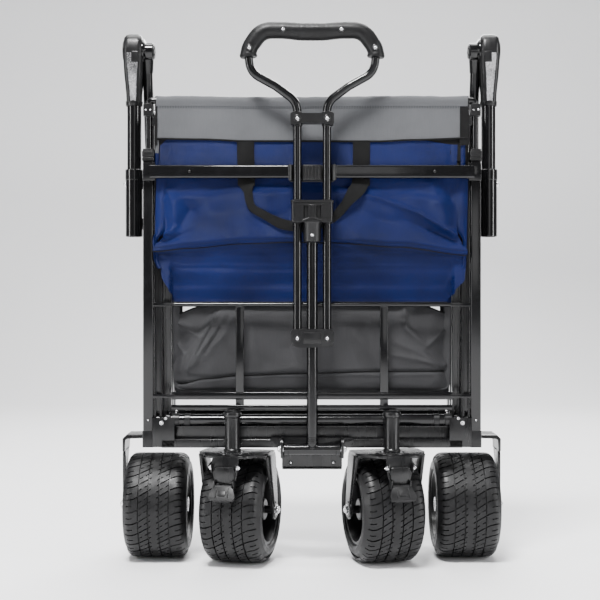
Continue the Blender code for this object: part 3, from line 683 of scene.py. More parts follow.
def grille():
    """Wire guard: round top rail, flat low rails and two uprights, with weld beads at the crossings."""
    low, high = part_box("front_grille")
    y = (low.y + high.y) / 2.0
    bm = bmesh.new()
    add_tube(bm, [(low.x, y, high.z - 0.0035), (high.x, y, high.z - 0.0035)], 0.0034, 24, 0.0006)
    for z0, z1 in ((low.z + 0.001, low.z + 0.009), GUARD_RAIL):
        add_prism(bm, rounded(low.y, high.y, z0, z1, 0.0018, 3), low.x, high.x, ALONG_X, 0.0005)
    for x in (-GUARD_UPRIGHT, GUARD_UPRIGHT):
        add_prism(bm, rounded(x - 0.0065, x + 0.0065, low.y + 0.0004, high.y - 0.0004, 0.0018, 3),
                  low.z, high.z - 0.001, ALONG_Z, 0.0005)
        for z in (0.2575, 0.2665, high.z - 0.0065):
            bead = [(x + 0.006 * math.cos(math.pi * k / 6.0), low.y + 0.0008,
                     z + 0.0008 * math.sin(3.0 * k))
                    for k in range(7)]
            add_tube(bm, bead, [0.0006, 0.0012, 0.0014, 0.0011, 0.0014, 0.0012, 0.0006], 8)
    for sign in (-1.0, 1.0):
        for z in (high.z - 0.0035, 0.262):
            add_prism(bm, rounded(sign * (high.x - 0.004), sign * (POST_X - POST_HALF + 0.001), z - 0.003,
                                  z + 0.003, 0.001, 2), low.y - 0.0004, low.y + 0.0018,
                      ALONG_Y, 0.0003)
    piece("front_guard", bm, BLACK, "front_frame", ["front_grille"])


def frame_bolts():
    """Bright bolts and rivets that hold the linkage and the tubes to the front and rear frames."""
    low_z = middle("front_base_tube").z
    for end, forward, y in ENDS:
        bm = bmesh.new()
        for _, sign in SIDES:
            inner = sign * (POST_X - POST_HALF)
            face = y - forward * POST_HALF
            for x, z, radius in ((0.232, low_z - 0.004, 0.0024), (0.2255, low_z + 0.003, 0.0017)):
                add_rivet(bm, (sign * x, y - forward * 0.0105, z), (0, -forward, 0), radius, 0.0014, 16)
            add_rivet(bm, (sign * POST_X, face, low_z), (0, -forward, 0), 0.0015, 0.0009, 14)
            add_tube(bm, [(sign * (BAR_IN - 0.0022), y + forward * 0.006, low_z),
                          (inner, y + forward * 0.006, low_z)], 0.003, 18, 0.0006)
        piece(end + "_frame_pins", bm, STEEL, end + "_frame")
        bm = bmesh.new()
        top = sum(FITTING) / 2.0 - 0.0025
        for _, sign in SIDES:
            reach = [(sign * (BAR_IN - 0.0022), y + forward * 0.006, top),
                     (sign * (POST_X - 0.006), y + forward * 0.006, top)]
            add_tube(bm, reach, 0.003, 18, 0.0006)
        piece(end + "_top_pins", bm, STEEL, end + "_top")


# ---- side linkage ----------------------------------------------------------------------------
def bar_ends(node):
    """Centres of a bar's two round ends, read from its solid: its lowest and its highest pivot."""
    points = [v.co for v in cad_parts[node].data.vertices]
    low = min(p.z for p in points) + BAR_HALF
    high = max(p.z for p in points) - BAR_HALF
    foot = [p.y for p in points if p.z < low]
    head = [p.y for p in points if p.z > high]
    return Vector(((min(foot) + max(foot)) / 2.0, low)), Vector(((min(head) + max(head)) / 2.0, high))


def linkage():
    """Flat scissor bars with round ends, pressed ribs, and rivets through their crossings."""
    for kind in ("rising", "falling"):
        for k in (1, 2, 3):
            for side, sign in SIDES:
                node = f"{kind}_bar_{k}_{side}"
                foot, head = bar_ends(node)
                low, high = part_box(node)
                run = (head - foot).normalized()
                across = Vector((-run.y, run.x))
                length = (head - foot).length
                place = ALONG_X @ Matrix(((run.x, across.x, 0, foot.x), (run.y, across.y, 0, foot.y),
                                          (0, 0, 1, 0), (0, 0, 0, 1)))
                outline = []
                for centre, start in ((0.0, 90.0), (length, -90.0)):
                    for j in range(13):
                        angle = math.radians(start + 180.0 * j / 12)
                        outline.append((centre + BAR_HALF * math.cos(angle), BAR_HALF * math.sin(angle)))
                outer = high.x if sign > 0 else low.x
                inner = low.x if sign > 0 else high.x
                bm = bmesh.new()
                for face in (outer, inner + sign * BAR_THICK):
                    add_prism(bm, outline, face, face - sign * BAR_THICK, place, 0.0007)
                rib_low = inner + sign * (BAR_THICK - 0.0002)
                rib_high = outer - sign * (BAR_THICK - 0.0002)
                add_prism(bm, rounded(0.012, length - 0.012, -0.005, 0.005, 0.002, 3), rib_low, rib_high,
                          place, 0.0)
                for end in (0.0, length):
                    add_prism(bm, circle(16, 0.0062, end), rib_low, rib_high, place)
                piece(f"{kind}_link_{k}_{side}", bm, SATIN, node, [node])
                bm = bmesh.new()
                for share in (0.0, 0.5, 1.0):
                    at = foot.lerp(head, share)
                    face = outer if kind == "rising" else inner
                    out = sign if kind == "rising" else -sign
                    add_rivet(bm, (face, at.x, at.y), (out, 0, 0), 0.003, 0.0009, 18)
                piece(f"{kind}_link_rivets_{k}_{side}", bm, STEEL, node)


# ---- wheels ----------------------------------------------------------------------------------
PITCHES = 27                         # tread blocks round the tyre
TREAD_DEPTH = 0.0034
TREAD_SLANT = 0.62                   # rise of a sipe for each metre across
GROOVES = ((-0.0246, -0.0226), (-0.0095, -0.0075), (0.0075, 0.0095), (0.0226, 0.0246))
TREAD_LINES = (-0.0455, -0.0425, -0.0385, -0.033, -0.029, -0.0246, -0.0226, -0.018, -0.014, -0.0095,
               -0.0075, -0.0045, 0.0, 0.0045, 0.0075, 0.0095, 0.014, 0.018, 0.0226, 0.0246, 0.029,
               0.033, 0.0385, 0.0425, 0.0455)
TREAD_ROWS = (0.0, 0.11, 0.5, 0.585)


def tread_top(x, half):
    """Radius of the tread at x: nearly flat in the middle, round at the shoulders."""
    edge = min(1.0, max(0.0, (abs(x) - 0.7 * half) / (0.3 * half)))
    return WHEEL_RADIUS - 0.0006 * (x / half) ** 2 - 0.02 * (1.0 - math.sqrt(1.0 - edge * edge))


def tread_slant(x):
    """How far a sipe has risen at x: straight across the middle ribs, bent over on the shoulders."""
    middle_part = max(-0.0236, min(0.0236, x))
    rest = min(1.0, max(0.0, (abs(x) - 0.0236) / 0.016))
    return TREAD_SLANT * middle_part + math.copysign(0.005 * math.sin(rest * math.pi / 2.0), x)


def raised(x0, x1, row):
    """Whether the tread cell between x0 and x1 in that row stands up."""
    centre = (x0 + x1) / 2.0
    if any(a - 1e-6 < x0 and x1 < b + 1e-6 for a, b in GROOVES):
        return False
    place = abs(centre)
    if row == 0:
        return place < 0.0045
    if row == 2:
        in_middle_rib = 0.0095 < place < 0.0226
        edge_notch = in_middle_rib and not 0.014 < place < 0.018
        slot = 0.033 < place < 0.0425
        return not (edge_notch or slot or 0.0045 < place < 0.0075)
    return True


def tread_tyre(bm, width, place):
    """Tyre in one skin round the X axis of place: ribs, sipes and slots, sidewall rings and bead."""
    half = width / 2.0
    bead = 0.0546
    side = [(0.985, -0.015), (1.0, -0.018), (1.003, -0.0205), (1.012, -0.0212), (1.012, -0.0226),
            (1.0, -0.0234), (0.985, -0.0262)]
    wall = [(share * half, WHEEL_RADIUS + drop) for share, drop in side]
    tread = [(x, tread_top(x, half)) for x in TREAD_LINES]
    left = [(-x, r) for x, r in reversed(wall)]
    profile = [(-0.9 * half, bead)] + left + tread + wall + [(0.9 * half, bead)]
    first = 1 + len(left)
    last = first + len(tread) - 1
    normals = []
    for i, (x, r) in enumerate(profile):
        a = profile[max(i - 1, 0)]
        b = profile[min(i + 1, len(profile) - 1)]
        run = Vector((b[0] - a[0], b[1] - a[1])).normalized()
        normals.append((-run.y, run.x))
    rows = PITCHES * len(TREAD_ROWS)

    def point(i, j, depth):
        x, r = profile[j]
        nx, nr = normals[j]
        on_tread = first <= j <= last
        share = 1.0 if on_tread else 0.0
        x, r = x - nx * depth * share, r - nr * depth * share
        pitch, row = divmod(i, len(TREAD_ROWS))
        turn = 2.0 * math.pi * (pitch + TREAD_ROWS[row]) / PITCHES
        turn += share * tread_slant(profile[j][0]) / WHEEL_RADIUS
        return place @ Vector((x, -r * math.cos(turn), r * math.sin(turn)))

    base = [[bm.verts.new(point(i, j, TREAD_DEPTH)) for j in range(len(profile))] for i in range(rows)]
    top = {}

    def top_vert(i, j):
        key = (i % rows, j)
        if key not in top:
            top[key] = bm.verts.new(point(key[0], j, 0.0))
        return top[key]

    def stands(i, j):
        if not first <= j < last:
            return False
        return raised(profile[j][0], profile[j + 1][0], (i % rows) % len(TREAD_ROWS))

    count = len(profile)
    for i in range(rows):
        n = (i + 1) % rows
        for j in range(count):
            m = (j + 1) % count
            if not stands(i, j):
                bm.faces.new((base[i][j], base[i][m], base[n][m], base[n][j]))
                continue
            bm.faces.new((top_vert(i, j), top_vert(i, m), top_vert(n, m), top_vert(n, j)))
            for near, a, b in (((i - 1, j), (i, j), (i, m)), ((i + 1, j), (n, j), (n, m)),
                               ((i, j - 1), (i, j), (n, j)), ((i, j + 1), (i, m), (n, m))):
                if not stands(*near):
                    bm.faces.new((base[a[0]][a[1]], base[b[0]][b[1]], top_vert(*b), top_vert(*a)))


def spoked_rim(bm, width, place):
    """Moulded rim: barrel with lips, five pairs of spokes and a long hub."""
    half = width / 2.0
    turn = place @ Matrix.Rotation(math.pi / 2.0, 4, "Y")
    lip = 0.93 * half
    barrel = [(0.0498, -lip), (0.0541, -lip), (0.0541, lip), (0.0498, lip), (0.049, lip - 0.003),
              (0.0472, lip - 0.01), (0.0466, 0.0), (0.0472, 0.01 - lip), (0.049, 0.003 - lip)]
    add_lathe(bm, barrel, turn, 60)
    hub = [(0.0068, -0.04), (0.015, -0.04), (0.0168, -0.0388), (0.0172, -0.03), (0.015, -0.024),
           (0.015, 0.024), (0.0172, 0.03), (0.0168, 0.0388), (0.015, 0.04), (0.0068, 0.04)]
    add_lathe(bm, [(r, x * width / 0.1) for r, x in hub], turn, 40)
    outline = [(0.014, 0.0036), (0.048, 0.0026), (0.048, -0.0026), (0.014, -0.0036)]
    for k in range(5):
        for lean in (-0.2, 0.2):
            angle = 2.0 * math.pi * k / 5.0 + lean
            swing = turn @ Matrix.Rotation(angle, 4, "Z")
            add_prism(bm, outline, -0.026, 0.026, swing, 0.001)
        swing = turn @ Matrix.Rotation(2.0 * math.pi * k / 5.0, 4, "Z")
        web = soft_outline([(0.015, 0.004), (0.03, 0.0075), (0.0475, 0.011), (0.0475, -0.011),
                            (0.03, -0.0075), (0.015, -0.004)], 0.002, 2)
        add_prism(bm, web, -0.002, 0.002, swing, 0.0006)


def wheel(prefix, side, width, place):
    piece(f"{prefix}_tread_{side}", made(tread_tyre, width, place), RUBBER, f"{prefix}_wheel_{side}",
          [f"{prefix}_tyre_{side}"], 28.0)
    piece(f"{prefix}_spokes_{side}", made(spoked_rim, width, place), PLASTIC, f"{prefix}_wheel_{side}",
          [f"{prefix}_rim_{side}"])


# ---- casters ---------------------------------------------------------------------------------
FORK_INSIDE = 0.0515                 # inner face of a fork arm, from the middle
TRAIL = 0.05                         # axle behind the king pin
CROWN_Z = (0.17, 0.176)              # underside and top of the fork's crown


def caster_place(sign):
    return Matrix.Translation((sign * CASTER_X, CASTER_Y, 0.0)) @ Matrix.Rotation(sign * CASTER_YAW, 4, "Z")


def caster_fork(bm, place):
    """Crown plate with a pressed ring, two flanged arms, a front tab with its cup, pin and axle."""
    low, high = CROWN_Z
    reach = FORK_INSIDE + 0.004
    crown = soft_outline([(-reach, 0.004), (-0.03, -0.038), (0.03, -0.038), (reach, 0.004),
                          (reach, 0.052), (-reach, 0.052)], 0.009)
    add_prism(bm, crown, low + 0.0022, high, place, 0.001)
    ring = [(0.018, high - 0.001), (0.026, high - 0.001), (0.025, high + 0.0014), (0.019, high + 0.0014)]
    add_lathe(bm, ring, place, 40)
    arm = soft_outline([(0.004, high - 0.001), (0.052, high - 0.001), (0.066, AXLE_Z + 0.006),
                        (0.06, AXLE_Z - 0.015), (0.04, AXLE_Z - 0.015), (0.034, AXLE_Z + 0.006)], 0.01)
    for end in (-1.0, 1.0):
        add_prism(bm, arm, end * FORK_INSIDE, end * (reach - 0.0003), place @ ALONG_X, 0.001)
        flange = [(0.01, high - 0.004), (0.0375, AXLE_Z + 0.01), (0.0395, AXLE_Z + 0.01),
                  (0.0145, high - 0.004)]
        add_prism(bm, flange, end * (reach - 0.0006), end * (reach + 0.0022), place @ ALONG_X, 0.0005)
        outer = end * (reach - 0.0008)
        boss = [(0.0, 0.0022), (0.012, 0.0022), (0.0132, 0.001), (0.0132, 0.0), (0.0, 0.0)]
        at = place @ Vector((outer, TRAIL, AXLE_Z))
        add_lathe(bm, boss, along(at, place.to_3x3() @ Vector((end, 0, 0))), 32)
    tab = soft_outline([(-0.0205, high - 0.001), (-0.0205, 0.156), (-0.018, 0.145), (-0.015, 0.135),
                        (0.015, 0.135), (0.018, 0.145), (0.0205, 0.156), (0.0205, high - 0.001)], 0.005, 4)
    add_prism(bm, tab, -0.0396, -0.037, place @ ALONG_Y, 0.0008)
    cup = soft_outline([(-0.0165, 0.16), (0.0165, 0.16), (0.0145, 0.1385), (-0.0145, 0.1385)], 0.005, 4)
    add_prism(bm, cup, -0.0438, -0.039, place @ ALONG_Y, 0.0022, 3)
    for end in (-1.0, 1.0):
        add_block(bm, (end * 0.018, -0.047, 0.152), (end * 0.0204, -0.0375, 0.165), 0.001, 2, place)
        add_block(bm, (end * 0.0135, -0.047, 0.127), (end * 0.016, -0.0375, 0.14), 0.001, 2, place)
    add_tube(bm, [(0, 0, low + 0.001), (0, 0, 0.2395)], 0.0055, 24, 0.0006, place)
    axle = [(-reach - 0.003, TRAIL, AXLE_Z), (reach + 0.003, TRAIL, AXLE_Z)]
    add_tube(bm, axle, 0.006, 20, 0.0, place)


def caster_bright(bm, place):
    """Axle nuts, the small bolts of the front tab and the bright skirt of the king pin."""
    reach = FORK_INSIDE + 0.004
    for end in (-1.0, 1.0):
        at = place @ Vector((end * (reach + 0.0012), TRAIL, AXLE_Z))
        add_bolt(bm, at, place.to_3x3() @ Vector((end, 0, 0)), 0.006, 0.0044)
        pin = place @ Vector((end * 0.0202, -0.043, 0.159))
        add_bolt(bm, pin, place.to_3x3() @ Vector((end, 0, 0)), 0.003, 0.0026)
    skirt = [(0.0125, 0.1765), (0.0165, 0.1765), (0.0165, 0.1774), (0.0125, 0.1774)]
    add_lathe(bm, skirt, place, 40)


def brake_pedal(bm, place):
    """Curved foot lever with a wide tread plate, its pad and two ribs, on a hinge tube."""
    profile = [(-0.0405, 0.133), (-0.0462, 0.1335), (-0.0505, 0.129), (-0.0545, 0.122), (-0.06, 0.114),
               (-0.06, 0.1118), (-0.054, 0.1085), (-0.045, 0.1072), (-0.0385, 0.1085), (-0.0375, 0.112),
               (-0.038, 0.12)]
    add_prism(bm, soft_outline(profile, 0.003, 3), -0.013, 0.013, place @ ALONG_X, 0.0014)
    wide = soft_outline([(-0.015, 0.131), (0.015, 0.131), (0.0205, 0.114), (0.019, 0.109), (-0.019, 0.109),
                         (-0.0205, 0.114)], 0.004, 4)
    tilt = place @ Matrix.Translation((0.0, -0.048, 0.131)) @ Matrix.Rotation(math.radians(-32.0), 4, "X")
    tilt = tilt @ Matrix.Translation((0.0, 0.0, -0.131))
    add_prism(bm, wide, -0.003, 0.003, tilt @ ALONG_Y, 0.0014, 3)
    add_prism(bm, rounded(-0.006, 0.006, 0.115, 0.125, 0.002, 3), -0.004, 0.0, tilt @ ALONG_Y, 0.0008)
    for end in (-1.0, 1.0):
        add_block(bm, (end * 0.0085, -0.0042, 0.113), (end * 0.01, 0.0, 0.128), 0.0006, 2, tilt)
    add_tube(bm, [(-0.013, -0.045, 0.13), (0.013, -0.045, 0.13)], 0.0042, 20, 0.0006, place)


def caster_socket(bm, sign):
    """Upright bush of a caster: foot flange, shell, cap with a domed top."""
    place = Matrix.Translation((sign * CASTER_X, CASTER_Y, 0.0))
    profile = [(0.0062, 0.1778), (0.0128, 0.1778), (0.0134, 0.1784), (0.0134, 0.1812), (0.012, 0.1826),
               (0.0115, 0.184), (0.0115, 0.23), (0.0128, 0.2306), (0.0136, 0.2316), (0.014, 0.233),
               (0.014, 0.2362), (0.0132, 0.2382), (0.0112, 0.2396), (0.0062, 0.24)]
    add_lathe(bm, profile, place, 48)
    top = [(0.0, 0.2412), (0.004, 0.241), (0.0068, 0.2398), (0.0068, 0.2385), (0.0, 0.2385)]
    add_lathe(bm, top, place, 32)
    x = sign * CASTER_X
    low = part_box("front_base_bar")[0]
    for dx in (-0.0125, 0.0125):
        bead = [(x + dx * (1.0 - 0.15 * math.sin(2.1 * k)), low.y - 0.0006, low.z + 0.0135 * k / 8.0)
                for k in range(9)]
        add_tube(bm, bead, [0.001 + 0.0005 * (k % 2) for k in range(9)], 8)


def casters():
    for side, sign in SIDES:
        place = caster_place(sign)
        piece("caster_yoke_" + side, made(caster_fork, place), SATIN, "caster_" + side,
              ["caster_fork_" + side])
        piece("caster_nuts_" + side, made(caster_bright, place), STEEL, "caster_" + side)
        piece("brake_lever_" + side, made(brake_pedal, place), RUBBER, "brake_" + side,
              ["brake_pedal_" + side])
        piece("caster_bush_" + side, made(caster_socket, sign), SATIN, "front_frame",
              ["caster_socket_" + side])
        wheel("caster", side, 0.098, place @ Matrix.Translation((0.0, TRAIL, AXLE_Z)))


def rear_wheels():
    for side, sign in SIDES:
        centre = middle("rear_tyre_" + side)
        wheel("rear", side, 0.1, Matrix.Translation(centre))
        low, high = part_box("rear_fork_" + side)
        leg_out, leg_in = (high.x, high.x - 0.004) if sign > 0 else (low.x, low.x + 0.004)
        bm = bmesh.new()
        y0, y1 = low.y, high.y
        span = [(sign * (POST_X - 0.007), high.z), (leg_out - sign * 0.006, high.z),
                (leg_out, high.z - 0.006),
                (leg_out, 0.17), (leg_in, 0.17), (leg_in, high.z - 0.0075),
                (leg_out - sign * 0.0075, high.z - 0.0052), (sign * (POST_X - 0.007), high.z - 0.0052)]
        add_prism(bm, span, y0, y1, ALONG_Y, 0.0008)
        leg = soft_outline([(y0 + 0.004, 0.172), (y1 - 0.004, 0.172), (0.05, 0.148), (0.049, AXLE_Z),
                            (0.042, 0.066), (0.025, 0.066), (0.0185, AXLE_Z), (0.0175, 0.148)], 0.008)
        add_prism(bm, leg, leg_in, leg_out, ALONG_X, 0.0008)
        groove = rounded(0.029, 0.0385, 0.1, 0.185, 0.004, 4)
        add_prism(bm, groove, leg_out - sign * 0.0008, leg_out + sign * 0.0012, ALONG_X, 0.0006)
        axle = [(centre.x - sign * 0.046, centre.y, AXLE_Z), (leg_out - sign * 0.001, centre.y, AXLE_Z)]
        add_tube(bm, axle, 0.0061, 24, 0.0006)
        piece("rear_bracket_" + side, bm, SATIN, "rear_frame", ["rear_fork_" + side])
        bm = bmesh.new()
        add_bolt(bm, (leg_out, centre.y, AXLE_Z), (sign, 0, 0), 0.007, 0.0046)
        add_lathe(bm, [(0.007, 0.0), (0.0115, 0.0), (0.0115, 0.0014), (0.007, 0.0014)],
                  along((centre.x - sign * 0.045, centre.y, AXLE_Z), (-sign, 0, 0)), 32)
        piece("rear_axle_nuts_" + side, bm, STEEL, "rear_frame")


# ---- pull handle -----------------------------------------------------------------------------
TWIN_X = 0.0225                      # each leg of the twin tube, from the middle
TWIN_RADIUS = 0.0065
PIVOT_Z = 0.183                      # height of the pull handle's pivot


def loop_path():
    """Line of the bent twin tube, from the foot of one leg to the foot of the other."""
    low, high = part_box("handle_loop")
    top = high.z - TWIN_RADIUS
    half = [(-TWIN_X, low.z), (-TWIN_X, top - 0.1095), (-0.0557, top - 0.085), (-0.094, top - 0.064),
            (-0.0978, top - 0.03), (-0.077, top)]
    corners = half + [(-x, z) for x, z in reversed(half)]
    return filleted([(x, HANDLE_Y, z) for x, z in corners], 0.03, 10)


def handle_bracket():
    """Sheet bracket with a turned-up rim, two ears, weld beads and the pivot bolt."""
    low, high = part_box("handle_bracket")
    back = high.y
    plate = soft_outline([(-0.064, 0.198), (0.064, 0.198), (0.064, 0.188), (0.0462, 0.1795), (0.0462, 0.15),
                          (-0.0462, 0.15), (-0.0462, 0.1795), (-0.064, 0.188)], 0.003)
    bm = bmesh.new()
    add_prism(bm, plate, back - 0.0035, back, ALONG_Y, 0.0008)
    add_block(bm, (-0.0458, back - 0.006, 0.15), (0.0458, back - 0.003, 0.1528), 0.0008)
    for sign in (-1.0, 1.0):
        ear = soft_outline([(back - 0.001, 0.2), (back - 0.001, 0.166), (low.y + 0.006, 0.17),
                            (low.y, 0.175), (low.y, 0.194), (low.y + 0.005, 0.2)], 0.004)
        add_prism(bm, ear, sign * 0.0444, sign * 0.0478, ALONG_X, 0.0008)
        bead = [(sign * 0.0486, back - 0.0042, 0.18 + 0.0022 * k) for k in range(9)]
        add_tube(bm, bead, [0.001 + 0.0006 * (k % 2) for k in range(9)], 8)
    piece("handle_hanger", bm, SATIN, "front_frame", ["handle_bracket"])
    bm = bmesh.new()
    add_tube(bm, [(-0.05, HANDLE_Y, PIVOT_Z), (0.05, HANDLE_Y, PIVOT_Z)], 0.004, 24)
    for sign in (-1.0, 1.0):
        add_bolt(bm, (sign * 0.0479, HANDLE_Y, PIVOT_Z), (sign, 0, 0), 0.0048, 0.0034)
    for x, z in ((-0.033, 0.16), (0.033, 0.16)):
        add_rivet(bm, (x, back - 0.0035, z), (0, -1, 0), 0.0022, 0.0014, 16)
    piece("handle_pivot_bolt", bm, STEEL, "front_frame")


def handle_clip():
    """Plastic catch on the crossbar: a ridged boss between the tubes and a flared jaw outside each."""
    face = CROSS_LOW.y
    low, high = CROSS_LOW.z - 0.0065, CROSS_HIGH.z - 0.0015
    bm = bmesh.new()
    add_prism(bm, rounded(-0.0345, 0.0345, low, high, 0.003, 4), face - 0.005,
              face + 0.0004, ALONG_Y, 0.0008)
    add_block(bm, (-0.0145, face - 0.0165, low + 0.0012), (0.0145, face - 0.0045, high), 0.0014)
    for k in range(5):
        x = -0.01 + 0.005 * k
        add_tube(bm,
                 [(x, face - 0.0165, low + 0.003), (x, face - 0.0165, high - 0.002)], 0.0013, 12, 0.0005)
    for sign in (-1.0, 1.0):
        jaw = [(sign * 0.0298, face - 0.0045), (sign * 0.0292, face - 0.011), (sign * 0.03, face - 0.0165),
               (sign * 0.0345, face - 0.0205), (sign * 0.0368, face - 0.0195),
               (sign * 0.0335, face - 0.013),
               (sign * 0.033, face - 0.0045)]
        add_prism(bm, soft_outline(jaw, 0.0012, 3), low + 0.0008, high, ALONG_Z, 0.001)
    piece("handle_catch", bm, PLASTIC, "front_frame")


def handle_stem():
    bm = bmesh.new()
    sleeve = [(-0.0433, HANDLE_Y, PIVOT_Z), (0.0433, HANDLE_Y, PIVOT_Z)]
    add_tube(bm, sleeve, 0.009, 36, 0.0008)
    for sign in (-1.0, 1.0):
        add_tube(bm,
                 [(sign * 0.036, HANDLE_Y, PIVOT_Z), (sign * 0.043, HANDLE_Y, PIVOT_Z)], 0.0096, 36, 0.0006)
    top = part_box("handle_stem")[1].z
    add_tube(bm, [(0, HANDLE_Y, PIVOT_Z), (0, HANDLE_Y, top)], 0.0085, 36)
    angles = [2.0 * math.pi * k / 24 for k in range(25)]
    bead = [(0.009 * math.cos(a), HANDLE_Y + 0.009 * math.sin(a),
             PIVOT_Z + math.sqrt(max(0.0, 0.0092 ** 2 - (0.009 * math.sin(a)) ** 2))) for a in angles]
    add_tube(bm, bead, [0.0011 + 0.0004 * (k % 2) for k in range(25)], 8)
    for k in range(3):
        add_tube(bm, [(0, HANDLE_Y, PIVOT_Z + 0.0105 + 0.0032 * k),
                      (0, HANDLE_Y, PIVOT_Z + 0.0128 + 0.0032 * k)],
                 0.0098 - 0.0004 * k, 28, 0.0006)
    piece("handle_shaft", bm, BLACK, "pull_stem", ["handle_stem"])


def handle_clamp():
    """Block that the tubes slide through: lips above and below, a window with the button, a fitting."""
    low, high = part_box("handle_clamp")
    foot, top = high.z - 0.0335, high.z
    front, back = low.y, high.y
    bm = bmesh.new()

    def body(z0, z1, recess, grow=0.0):
        outline = rounded(-0.0315 - grow, 0.0315 + grow, front - grow, back + grow, 0.0045, 5)
        if recess:
            outline = [p for p in outline if p[1] > front + 0.0046 or abs(p[0]) > 0.0262]
            split = next(i for i, p in enumerate(outline) if p[1] < front + 0.0005 and p[0] > 0.0)
            notch = [(-0.013, front), (-0.0118, front + 0.003), (-0.007, front + 0.003),
                     (-0.007, front + 0.0052), (0.007, front + 0.0052), (0.007, front + 0.003),
                     (0.0118, front + 0.003), (0.013, front)]
            outline = outline[:split] + notch + outline[split:]
        add_prism(bm, outline, z0, z1, ALONG_Z, 0.0 if recess else 0.0009)

    body(foot, foot + 0.0072, False)
    body(foot + 0.0068, top - 0.0078, True)
    body(top - 0.0082, top, False)
    body(top - 0.003, top - 0.0002, False, 0.001)
    arch = [(-0.015 + 0.03 * k / 16.0, front - 0.0004,
             foot + 0.0052 + 0.0022 * math.cos(math.pi * (k / 8.0 - 1.0)))
            for k in range(17)]
    add_tube(bm, arch, 0.0013, 12, 0.0004)
    for sign in (-1.0, 1.0):
        add_tube(bm, [(sign * TWIN_X, HANDLE_Y, foot - 0.0014), (sign * TWIN_X, HANDLE_Y, top + 0.0014)],
                 TWIN_RADIUS + 0.0016, 32, 0.0007)
    profile = [(0.0, low.z), (0.0105, low.z), (0.0128, low.z + 0.0018), (0.0135, low.z + 0.005),
               (0.0135, foot - 0.004), (0.015, foot + 0.0004), (0.0, foot + 0.001)]
    add_lathe(bm, profile, Matrix.Translation((0.0, HANDLE_Y, 0.0)), 44)
    piece("handle_slider", bm, PLASTIC, "pull_stem", ["handle_clamp"])
    piece("handle_slider_rivet",
          made(add_rivet, (0.0, HANDLE_Y - 0.0134, low.z + 0.011), (0, -1, 0), 0.0021, 0.0013, 18), STEEL,
          "pull_stem")

    b_low, b_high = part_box("handle_button")
    bm = bmesh.new()
    add_block(bm, b_low, b_high, 0.001, 3)
    crown = [(b_low.x + (b_high.x - b_low.x) * k / 8.0, b_low.y - 0.0014 * math.sin(math.pi * k / 8.0))
             for k in range(9)]
    crown += [(b_high.x, b_low.y + 0.0015), (b_low.x, b_low.y + 0.0015)]
    add_prism(bm, crown, b_low.z + 0.0008, b_high.z - 0.0008, ALONG_Z, 0.0005)
    piece("handle_push_button", bm, PLASTIC, "pull_button", ["handle_button"])


def handle_loop():
    path = loop_path()
    piece("handle_twin_tube", made(add_tube, path, TWIN_RADIUS, 32, 0.0008), BLACK, "pull_loop",
          ["handle_loop"])
    handle_grip(path)
    handle_plates()


def handle_grip(path):
    """Soft grip on the top of the loop: swollen under the middle, ribbed, with a collar at each end."""
    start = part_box("handle_grip")[0].z
    line = even_path([p for p in path if p.z > start], 0.0022)
    total = len(line) - 1
    bm = bmesh.new()
    rings = []
    sides = 40
    for i, (point, tangent, _, _) in enumerate(frames_along(line)):
        t = i / total
        side = Vector((0.0, 1.0, 0.0))
        up = tangent.cross(side).normalized()
        end = min(t, 1.0 - t) * total * 0.0022
        radius = 0.0124 + 0.0004 * smooth(0.01, 0.04, end) + 0.0012 * smooth(0.008, 0.0015, end)
        if end < 0.0008:
            radius = 0.0126
        belly = smooth(0.3, 0.45, t) * smooth(0.7, 0.55, t)
        ribs = 0.00022 * max(0.0, math.sin(i * 1.9)) * smooth(0.16, 0.1, abs(t - 0.5))
        ring = []
        for k in range(sides):
            angle = 2.0 * math.pi * k / sides
            c, s = math.cos(angle), math.sin(angle)
            low_side = max(0.0, -s)
            r = radius - ribs
            lift = r * s - 0.003 * belly * low_side ** 1.5 - 0.0018 * belly * max(0.0, s)
            ring.append(bm.verts.new(point + side * (r * c) + up * lift))
        rings.append(ring)
    add_skin(bm, rings)
    piece("handle_soft_grip", bm, GRIP, "pull_loop", ["handle_grip"], 50.0)
    bright, rings = bmesh.new(), bmesh.new()
    for share in (0.055, 0.322, 0.678, 0.945):
        at = line[round(share * total)]
        face = Vector((at.x, at.y - 0.0122, at.z - 0.0006))
        add_rivet(bright, face + Vector((0.0, -0.0004, 0.0)), (0, -1, 0), 0.0027, 0.0017, 20)
        collar = [(0.0029, -0.001), (0.005, -0.001), (0.0048, 0.001), (0.004, 0.0014), (0.003, 0.0008)]
        add_lathe(rings, collar, along(face, (0, -1, 0)), 28)
    piece("handle_grip_rivets", bright, STEEL, "pull_loop")
    piece("handle_grip_rings", rings, PLASTIC, "pull_loop")


